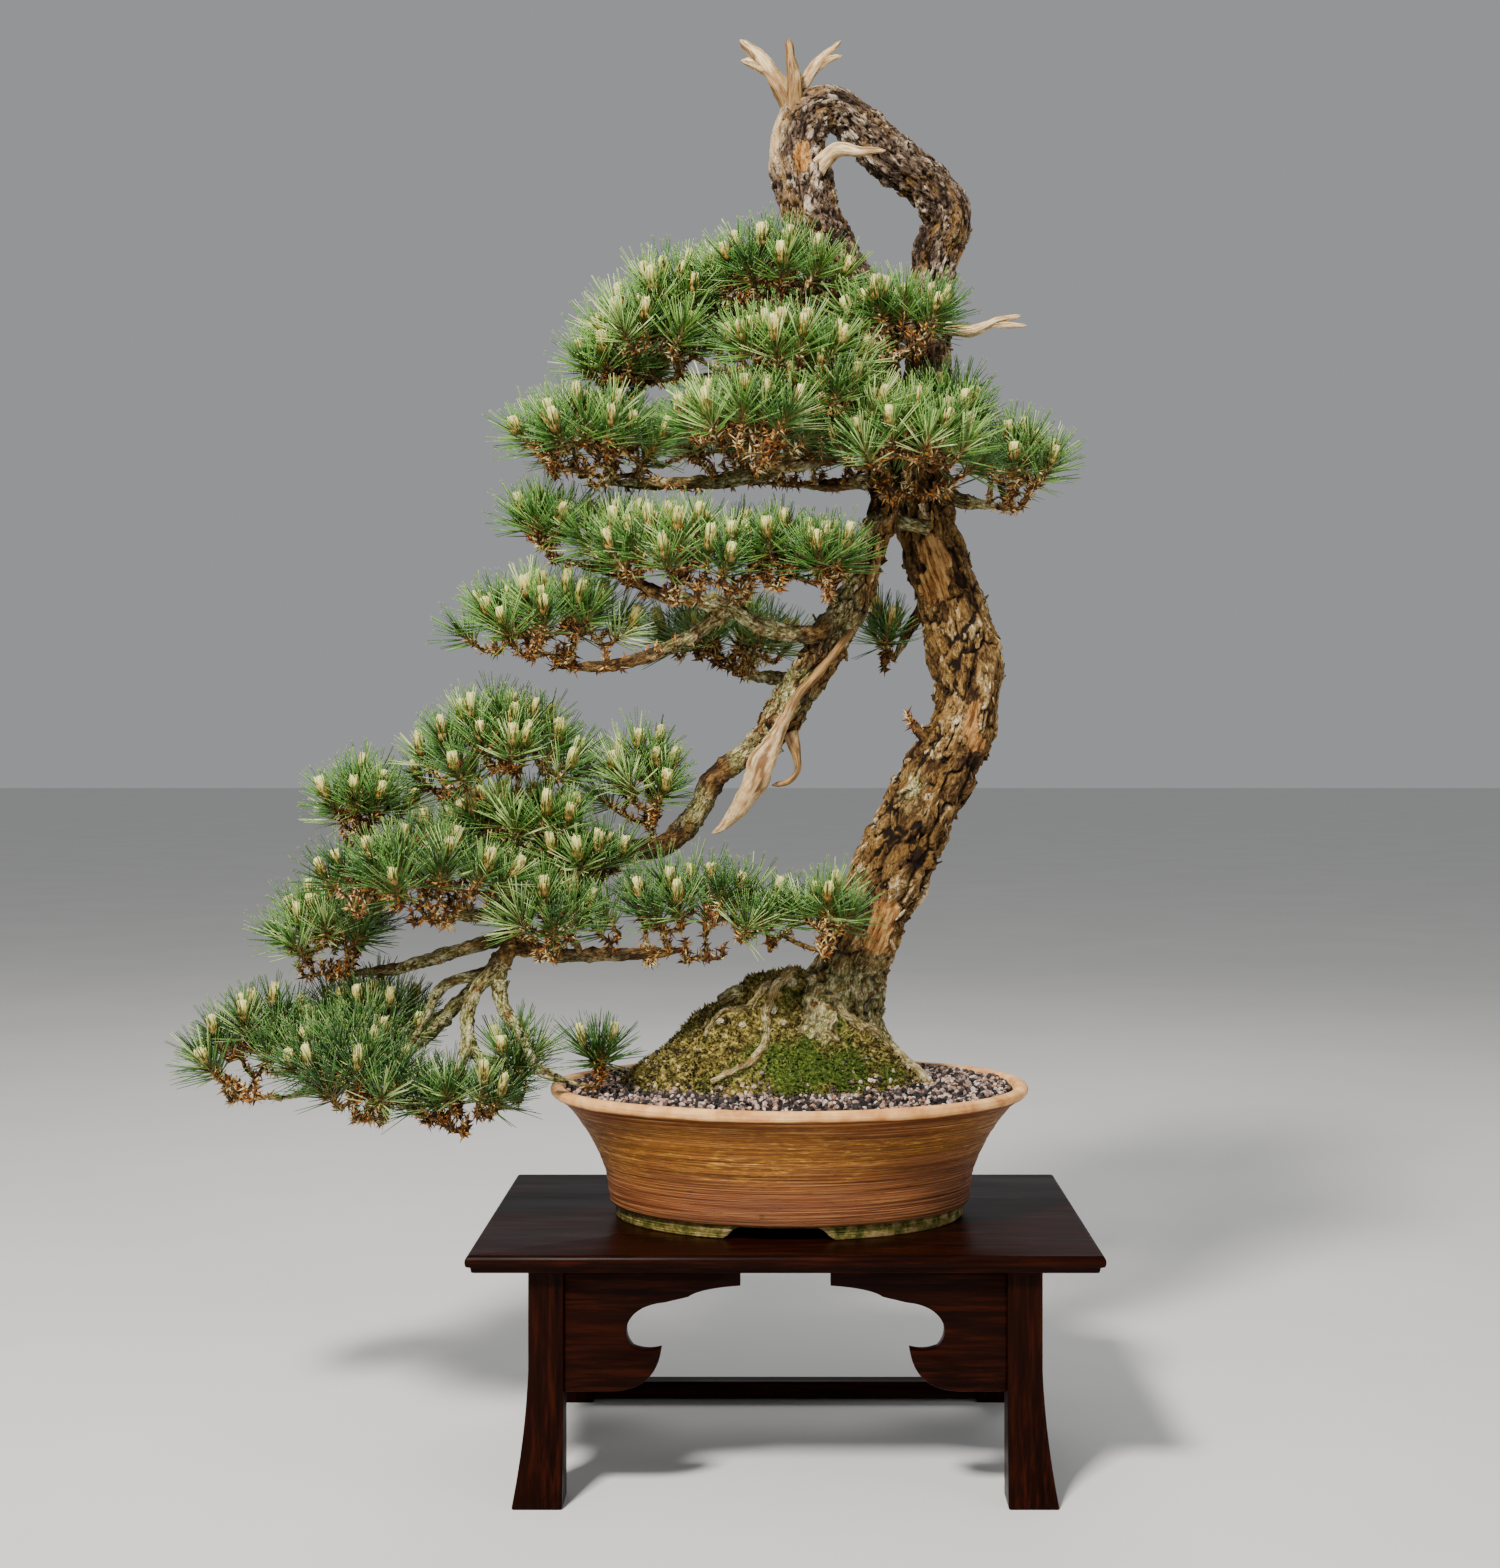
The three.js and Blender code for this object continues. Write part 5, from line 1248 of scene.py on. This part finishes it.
class Finish:
    """A procedural material while its nodes are added and joined."""

    def __init__(self, name, roughness, specular=0.5):
        self.material = bpy.data.materials.new(name)
        self.material.use_nodes = True
        self.tree = self.material.node_tree
        self.surface = self.tree.nodes["Principled BSDF"]
        self.surface.inputs["Roughness"].default_value = roughness
        self.surface.inputs["Specular IOR Level"].default_value = specular

    def feed(self, socket, value):
        """Joins a node's output to an input, or gives the input a fixed value."""
        if isinstance(value, bpy.types.NodeSocket):
            self.tree.links.new(value, socket)
        else:
            socket.default_value = value

    def add(self, kind, inputs, **settings):
        made = self.tree.nodes.new("ShaderNode" + kind)
        for key, value in settings.items():
            setattr(made, key, value)
        for key, value in inputs.items():
            self.feed(made.inputs[key], value)
        return made

    def value(self, name):
        return self.add("Attribute", {}, attribute_name=name).outputs["Fac"]

    def vector(self, name):
        return self.add("Attribute", {}, attribute_name=name).outputs["Vector"]

    def stretch(self, vector, scale):
        return self.add("Mapping", {"Vector": vector, "Scale": scale}).outputs["Vector"]

    def place(self, scale=(1, 1, 1)):
        """Places on the surface in metres, stretched by the scale."""
        return self.stretch(self.add("TexCoord", {}).outputs["Object"], scale)

    def height(self):
        """Height above the floor in metres."""
        return self.add("SeparateXYZ", {"Vector": self.place()}).outputs["Z"]

    def noise(self, vector, scale, detail=3.0, rough=0.55):
        inputs = {"Vector": vector, "Scale": scale, "Detail": detail, "Roughness": rough}
        return self.add("TexNoise", inputs).outputs["Fac"]

    def cells(self, vector, scale, feature="F1"):
        return self.add("TexVoronoi", {"Vector": vector, "Scale": scale}, feature=feature).outputs["Distance"]

    def math(self, operation, first, second):
        return self.add("Math", {0: first, 1: second}, operation=operation).outputs[0]

    def times(self, first, second):
        return self.math("MULTIPLY", first, second)

    def span(self, value, low, high, to_low=0.0, to_high=1.0):
        """The value's stretch from low to high, moved to the other stretch and held to it."""
        inputs = {"Value": value, "From Min": low, "From Max": high, "To Min": to_low, "To Max": to_high}
        return self.add("MapRange", inputs).outputs["Result"]

    def varied(self, value, pattern, amount):
        """The value, raised or lowered by up to the amount where the pattern is high or low."""
        return self.math("ADD", value, self.span(pattern, 0.3, 0.7, -amount, amount))

    def ramp(self, share, stops):
        """Colours by a share from 0 to 1. A stop is its place and its colour."""
        made = self.add("ValToRGB", {"Fac": share})
        elements = made.color_ramp.elements
        while len(elements) < len(stops):
            elements.new(0.5)
        for element, (place, colour) in zip(elements, stops):
            element.position = place
            element.color = (*colour, 1)
        return made.outputs["Color"]

    def mix(self, share, first, second):
        """The first colour, and the second one where the share is 1."""
        made = self.add("Mix", {}, data_type="RGBA")
        for index, value in ((0, share), (6, first), (7, second)):
            self.feed(made.inputs[index], (*value, 1) if isinstance(value, tuple) else value)
        return made.outputs[2]

    def cover(self, colour, other, pattern, low, high, most=1.0):
        """The colour, covered by another one as the pattern goes from low to high."""
        return self.mix(self.span(pattern, low, high, 0, most), colour, other)

    def bump(self, height, distance, below=None):
        inputs = {"Height": height, "Distance": distance}
        if below is not None:
            inputs["Normal"] = below
        return self.add("Bump", inputs).outputs["Normal"]

    def finish(self, colour, normal=None, roughness=None):
        for name, value in (("Base Color", colour), ("Normal", normal), ("Roughness", roughness)):
            if value is not None:
                self.feed(self.surface.inputs[name], value)
        return self.material


def bark_material():
    f = Finish("flaky_bark", 0.85, 0.2)
    grain = f.vector("grain")
    stretched = f.stretch(grain, (1, 1, 0.42))
    swirl = f.add("TexNoise", {"Vector": stretched, "Scale": 0.2, "Detail": 4.0}).outputs["Color"]
    bent = f.add("VectorMath", {0: swirl, 1: (11, 11, 11), 2: stretched}, operation="MULTIPLY_ADD").outputs[0]
    fine = f.noise(stretched, 0.75, 6.0, 0.68)
    ragged = f.noise(bent, 0.27, 5.0, 0.72)
    broad = f.noise(stretched, 0.11, 4.0, 0.6)
    threads = f.stretch(grain, (1, 1, 0.12))
    streak = f.noise(threads, 0.28, 6.0, 0.65)
    height = f.height()
    tone = f.varied(f.value("number"), broad, 0.26)
    tone = f.varied(tone, ragged, 0.4)
    tone = f.varied(tone, fine, 0.14)
    tan = f.ramp(tone, [
        (0.0, (0.022, 0.008, 0.002)),
        (0.28, (0.09, 0.04, 0.008)),
        (0.52, (0.22, 0.115, 0.028)),
        (0.76, (0.42, 0.26, 0.082)),
        (1.0, (0.86, 0.69, 0.42)),
    ])
    grey = f.ramp(tone, [
        (0.0, (0.014, 0.009, 0.007)),
        (0.32, (0.085, 0.055, 0.039)),
        (0.65, (0.21, 0.15, 0.112)),
        (1.0, (0.72, 0.61, 0.5)),
    ])
    colour = f.mix(f.span(height, 0.76, 0.9, 0.1, 0.8), tan, grey)
    golden = f.ramp(fine, [(0.32, (0.1, 0.04, 0.006)), (0.7, (0.5, 0.28, 0.07))])
    colour = f.cover(colour, golden, f.noise(stretched, 0.07, 3.0), 0.5, 0.6, 0.6)
    edge = f.varied(f.value("bare"), fine, 0.3)
    streak = f.varied(streak, ragged, 0.13)
    inner = f.ramp(streak, [
        (0.32, (0.06, 0.02, 0.005)),
        (0.46, (0.36, 0.15, 0.036)),
        (0.62, (0.72, 0.42, 0.15)),
    ])
    colour = f.cover(colour, (0.02, 0.009, 0.004), edge, 0.24, 0.34, 0.9)
    colour = f.cover(colour, inner, edge, 0.38, 0.46)
    # Cracks, split lines between plates and the shaded layer steps are painted near-black: the fissures' own
    # dark colour with painted shade in them.
    split = f.span(f.cells(bent, 0.17, "DISTANCE_TO_EDGE"), 0.0, 0.07, 1, 0)
    split = f.times(split, f.span(f.noise(stretched, 0.3, 3.0), 0.42, 0.55))
    split = f.times(split, f.span(f.value("bare"), 0.2, 0.5, 1, 0.25))
    dark = f.math("ADD", f.value("crack"), f.span(fine, 0.35, 0.65, -0.2, 0.2))
    dark = f.math("MAXIMUM", f.span(dark, 0.34, 0.8), split)
    colour = f.mix(dark, colour, (0.012, 0.005, 0.002))
    cream = f.ramp(streak, [(0.3, (0.5, 0.25, 0.06)), (0.5, (0.74, 0.5, 0.24)), (0.7, (0.86, 0.7, 0.48))])
    colour = f.mix(f.value("pale"), colour, cream)
    speckle = f.math("ADD", f.times(fine, 0.4), f.times(ragged, 0.6))
    green = f.ramp(speckle, [
        (0.35, (0.014, 0.013, 0.003)),
        (0.43, (0.1, 0.094, 0.02)),
        (0.51, (0.36, 0.33, 0.12)),
        (0.59, (0.84, 0.79, 0.54)),
    ])
    spread = f.noise(grain, 0.16, 5.0, 0.6)
    share = f.times(f.value("mossy"), f.span(spread, 0.38, 0.5))
    share = f.times(share, f.span(dark, 0.0, 1.0, 1, 0.3))
    colour = f.mix(share, colour, green)
    rise = f.math("ADD", fine, f.times(ragged, 1.2))
    rise = f.math("SUBTRACT", rise, f.times(dark, 0.5))
    return f.finish(colour, f.bump(rise, 0.002))


def deadwood_material():
    f = Finish("deadwood", 0.6, 0.35)
    stretched = f.stretch(f.vector("grain"), (1, 1, 0.06))
    streak = f.noise(stretched, 1.1, 5.0, 0.6)
    colour = f.ramp(streak, [
        (0.3, (0.4, 0.2, 0.06)),
        (0.45, (0.68, 0.45, 0.2)),
        (0.66, (0.9, 0.75, 0.5)),
    ])
    aged = f.ramp(streak, [(0.35, (0.08, 0.038, 0.012)), (0.62, (0.36, 0.21, 0.06))])
    colour = f.mix(f.value("brown"), colour, aged)
    blotch = f.noise(f.place(), 70, 4.0, 0.6)
    colour = f.cover(colour, (0.42, 0.21, 0.06), blotch, 0.5, 0.7, 0.75)
    # grooves darkened: weathered grain with painted shade in them
    colour = f.cover(colour, (0.16, 0.07, 0.02), f.value("crack"), 0.2, 0.9, 0.9)
    return f.finish(colour, f.bump(streak, 0.0007))


def needle_material():
    f = Finish("pine_needles", 0.32, 0.5)
    tone, along = f.value("tone"), f.value("along")
    # The ramps run from near-black to pale: random needle tone, widened so that the brightest few needles are
    # painted highlights standing in for glints.
    lit_warm_green = f.ramp(tone, [
        (0.0, (0.008, 0.05, 0.005)),
        (0.4, (0.047, 0.165, 0.018)),
        (0.72, (0.18, 0.36, 0.055)),
        (0.9, (0.62, 0.76, 0.3)),
    ])
    shaded_cool_green = f.ramp(tone, [
        (0.0, (0.004, 0.026, 0.003)),
        (0.4, (0.017, 0.08, 0.01)),
        (0.7, (0.065, 0.19, 0.026)),
        (0.88, (0.42, 0.56, 0.18)),
    ])
    # lower pads take the darker, cooler ramp: painted shade from the crown above, with a cooler green
    colour = f.mix(f.value("crown_shade"), lit_warm_green, shaded_cool_green)
    colour = f.mix(f.span(along, 0.0, 0.25, 0.9, 0), colour, (0.42, 0.34, 0.1))
    colour = f.cover(colour, (0.6, 0.54, 0.2), along, 0.93, 1.0, 0.5)
    streak = f.noise(f.place(), 900, 2.0)
    colour = f.cover(colour, (0.56, 0.66, 0.24), streak, 0.56, 0.76, 0.5)
    return f.finish(colour, f.bump(streak, 0.0002))


def scale_material():
    f = Finish("bud_scales", 0.7, 0.3)
    fine = f.noise(f.place(), 500, 3.0)
    tone = f.varied(f.value("tone"), f.noise(f.place(), 26, 2.0), 0.35)
    colour = f.ramp(tone, [
        (0.0, (0.024, 0.008, 0.002)),
        (0.3, (0.15, 0.04, 0.006)),
        (0.52, (0.44, 0.13, 0.012)),
        (0.68, (0.6, 0.33, 0.07)),
        (0.9, (0.84, 0.7, 0.36)),
    ])
    colour = f.cover(colour, (0.08, 0.03, 0.01), fine, 0.45, 0.72, 0.5)
    return f.finish(colour, f.bump(fine, 0.0004))


def candle_material():
    f = Finish("candles", 0.55, 0.4)
    along, tone = f.value("along"), f.value("tone")
    fine = f.noise(f.place((1, 1, 0.2)), 520, 3.0)
    colour = f.ramp(along, [
        (0.0, (0.2, 0.06, 0.008)),
        (0.3, (0.36, 0.19, 0.03)),
        (0.6, (0.56, 0.46, 0.12)),
        (1.0, (0.78, 0.72, 0.29)),
    ])
    colour = f.cover(colour, (0.52, 0.6, 0.18), tone, 0, 1, 0.3)
    stripe = f.times(f.span(fine, 0.5, 0.62), f.span(along, 1.0, 0.7, 0.25, 1))
    colour = f.mix(stripe, colour, (0.24, 0.14, 0.03))
    return f.finish(colour, f.bump(fine, 0.0008))


def moss_material():
    f = Finish("moss_cover", 0.95, 0.15)
    spot = f.place()
    fine = f.noise(spot, 420, 4.0, 0.7)
    height = f.height()
    dry = f.ramp(f.noise(spot, 210, 5.0, 0.78), [
        (0.34, (0.006, 0.004, 0.002)),
        (0.45, (0.045, 0.032, 0.008)),
        (0.54, (0.2, 0.155, 0.03)),
        (0.63, (0.54, 0.43, 0.14)),
        (0.73, (0.88, 0.77, 0.48)),
    ])
    fresh = f.ramp(fine, [
        (0.3, (0.006, 0.013, 0.002)),
        (0.5, (0.042, 0.072, 0.008)),
        (0.62, (0.14, 0.175, 0.022)),
        (0.75, (0.38, 0.4, 0.08)),
    ])
    colour = f.mix(f.span(f.value("green"), 0.2, 0.62), dry, fresh)
    colour = f.cover(colour, (0.5, 0.44, 0.16), f.value("tone"), 0.75, 1.0, 0.6)
    reach = f.span(height, 0.3, 0.35, 0.1, 0.24)
    stones = f.math("LESS_THAN", f.cells(spot, 62), reach)
    stone = f.ramp(fine, [(0.35, (0.2, 0.15, 0.06)), (0.6, (0.72, 0.66, 0.46))])
    colour = f.mix(f.times(stones, 0.85), colour, stone)
    return f.finish(colour, f.bump(fine, 0.0026))


def soil_material():
    f = Finish("soil", 0.95, 0.2)
    grains = f.cells(f.place(), 260)
    colour = f.ramp(grains, [(0.1, (0.035, 0.027, 0.024)), (0.6, (0.008, 0.006, 0.006))])
    return f.finish(colour, f.bump(grains, 0.002))


def gravel_material():
    f = Finish("gravel", 0.8, 0.4)
    fine = f.noise(f.place(), 900, 4.0, 0.7)
    colour = f.ramp(f.value("tone"), [
        (0.0, (0.008, 0.006, 0.006)),
        (0.4, (0.04, 0.03, 0.028)),
        (0.6, (0.2, 0.125, 0.1)),
        (0.75, (0.46, 0.32, 0.265)),
        (0.88, (0.84, 0.68, 0.6)),
        (0.94, (0.4, 0.16, 0.08)),
        (1.0, (0.66, 0.48, 0.3)),
    ])
    colour = f.cover(colour, (0.012, 0.009, 0.009), fine, 0.52, 0.68, 0.8)
    return f.finish(colour, f.bump(fine, 0.0008))


def clay_material():
    f = Finish("thrown_clay", 0.6, 0.35)
    spot = f.place()
    height = f.height()
    lines = f.noise(f.place((0.012, 0.012, 1)), 560, 3.0, 0.7)
    threads = f.noise(f.place((0.008, 0.008, 1)), 1500, 2.0)
    broken = f.noise(f.place((0.15, 0.15, 1)), 620, 5.0, 0.7)
    patch = f.noise(f.place((0.4, 0.4, 1)), 24, 4.0, 0.6)
    level = f.varied(f.span(height, 0.19, 0.272), patch, 0.2)
    colour = f.ramp(level, [
        (0.0, (0.18, 0.054, 0.015)),
        (0.2, (0.21, 0.06, 0.017)),
        (0.42, (0.22, 0.064, 0.011)),
        (0.62, (0.27, 0.09, 0.006)),
        (0.82, (0.22, 0.068, 0.003)),
        (1.0, (0.16, 0.038, 0.002)),
    ])
    # A band of gold flecks round the shoulder: the clay's own flecks, gathered into a band as a painted
    # highlight where the light catches the shoulder.
    flecks_and_highlight_band = f.times(f.span(level, 0.42, 0.62), f.span(level, 0.95, 0.8))
    flecks_and_highlight_band = f.times(flecks_and_highlight_band, f.span(patch, 0.42, 0.6, 0.3, 1))
    flecks_and_highlight = f.times(flecks_and_highlight_band, f.span(broken, 0.52, 0.66))
    colour = f.mix(f.times(flecks_and_highlight, 0.95), colour, (0.82, 0.46, 0.05))
    colour = f.cover(colour, (0.42, 0.16, 0.045), lines, 0.52, 0.62, 0.4)
    colour = f.cover(colour, (0.05, 0.015, 0.004), lines, 0.46, 0.36, 0.6)
    colour = f.cover(colour, (0.06, 0.018, 0.004), threads, 0.5, 0.36, 0.55)
    colour = f.cover(colour, (0.6, 0.3, 0.09), threads, 0.56, 0.68, 0.5)
    colour = f.cover(colour, (0.05, 0.015, 0.004), broken, 0.42, 0.32, 0.75)
    lip = f.varied(height, patch, 0.0016)
    lip_colour = f.ramp(f.noise(spot, 60, 4.0), [(0.3, (0.56, 0.2, 0.045)), (0.65, (1.0, 0.56, 0.21))])
    colour = f.cover(colour, lip_colour, lip, 0.2716, 0.273)
    foot = f.span(height, 0.1912, 0.1896)
    algae = f.ramp(f.noise(spot, 120, 5.0, 0.7), [
        (0.38, (0.05, 0.06, 0.006)),
        (0.5, (0.24, 0.2, 0.035)),
        (0.62, (0.52, 0.36, 0.16)),
    ])
    colour = f.mix(foot, colour, algae)
    ridge = f.math("ADD", lines, f.times(broken, 0.3))
    normal = f.bump(ridge, 0.0016)
    normal = f.bump(f.noise(spot, 1400, 3.0), 0.0003, below=normal)
    return f.finish(colour, normal, f.span(broken, 0.3, 0.7, 0.7, 0.45))


def wood_material(name, along):
    """Dark polished wood whose grain runs along one axis."""
    f = Finish(name, 0.3, 0.5)
    f.surface.inputs["IOR"].default_value = 1.12
    fine, coarse = [1, 1, 1], [1, 1, 1]
    fine[along], coarse[along] = 0.07, 0.2
    streaks = f.noise(f.place(fine), 260, 5.0, 0.6)
    broad = f.noise(f.place(coarse), 30, 3.0)
    colour = f.ramp(streaks, [
        (0.3, (0.0025, 0.0005, 0.0003)),
        (0.5, (0.009, 0.0016, 0.0005)),
        (0.75, (0.036, 0.006, 0.0015)),
    ])
    colour = f.cover(colour, (0.014, 0.0026, 0.0008), broad, 0.4, 0.7, 0.5)
    return f.finish(colour, f.bump(streaks, 0.00012), f.span(broad, 0.3, 0.7, 0.24, 0.4))


def mesh_material():
    f = Finish("drain_screen", 0.5)
    colour = f.ramp(f.noise(f.place(), 600), [(0.3, (0.04, 0.06, 0.05)), (0.7, (0.09, 0.12, 0.1))])
    return f.finish(colour)


FINISHES = (
    clay_material, mesh_material, soil_material, gravel_material, moss_material,
    bark_material, deadwood_material, needle_material, scale_material, candle_material,
)


# Camera, light and floor


def build_camera():
    lens = bpy.data.cameras.new("camera")
    lens.lens = CAMERA["lens"]
    lens.sensor_width = CAMERA["sensor"]
    lens.shift_x, lens.shift_y = CAMERA["shift"]
    lens.clip_start, lens.clip_end = CAMERA["clip"]
    camera = placed("camera", lens)
    camera.location = Vector(CAMERA["place"]) * MM + Vector(ORIGIN)
    camera.rotation_euler = (math.pi / 2, 0, 0)
    bpy.context.scene.camera = camera


def build_light(name, place, target, size, power, colour):
    light = bpy.data.lights.new(name, "AREA")
    light.shape = "RECTANGLE"
    light.size, light.size_y = size
    light.energy = power
    light.color = colour
    lamp = placed(name, light)
    lamp.location = place
    lamp.rotation_euler = (Vector(target) - Vector(place)).to_track_quat("-Z", "Y").to_euler()


def build_studio():
    for name, light in LIGHTS.items():
        build_light(name, *light)
    world = bpy.data.worlds.new("studio")
    world.use_nodes = True
    background = world.node_tree.nodes["Background"]
    background.inputs["Color"].default_value = SKY["colour"]
    background.inputs["Strength"].default_value = SKY["strength"]
    bpy.context.scene.world = world
    bpy.ops.mesh.primitive_plane_add(size=FLOOR_SIZE)
    floor = bpy.context.object
    floor.name = "floor"
    f = Finish("floor", 0.9, 0.2)
    colour = f.ramp(f.noise(f.place(), 3), [(0.3, (0.72, 0.71, 0.69)), (0.7, (0.76, 0.75, 0.73))])
    floor.data.materials.append(f.finish(colour))


# Assembly


def wood_places():
    """Places along the trunk and limbs, with the trunk's own places and radii."""
    trunk_line, trunk_radii, _ = curve_points(TRUNK, WOOD_PLACES["trunk"])
    limb_lines = [curve_points(path, WOOD_PLACES["limb"])[0] for path in LIMBS]
    return np.concatenate([trunk_line, *limb_lines]), trunk_line, trunk_radii


build_camera()
build_studio()
for along, wood in enumerate(("long_wood", "cross_wood", "upright_wood")):
    wood_material(wood, along)
for make_finish in FINISHES:
    make_finish()
build_board()
build_legs()
build_aprons()
build_rail()
build_pot()
for side, _ in COLUMNS:
    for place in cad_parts[f"drain_mesh_{side}"].material_slots:
        place.material = bpy.data.materials["drain_screen"]
build_flakes(build_wood(), np.random.default_rng(SEED))
build_soil(np.random.default_rng(SEED + 1))
build_moss(np.random.default_rng(SEED + 2))
build_foliage(*wood_places())

bpy.context.view_layer.update()
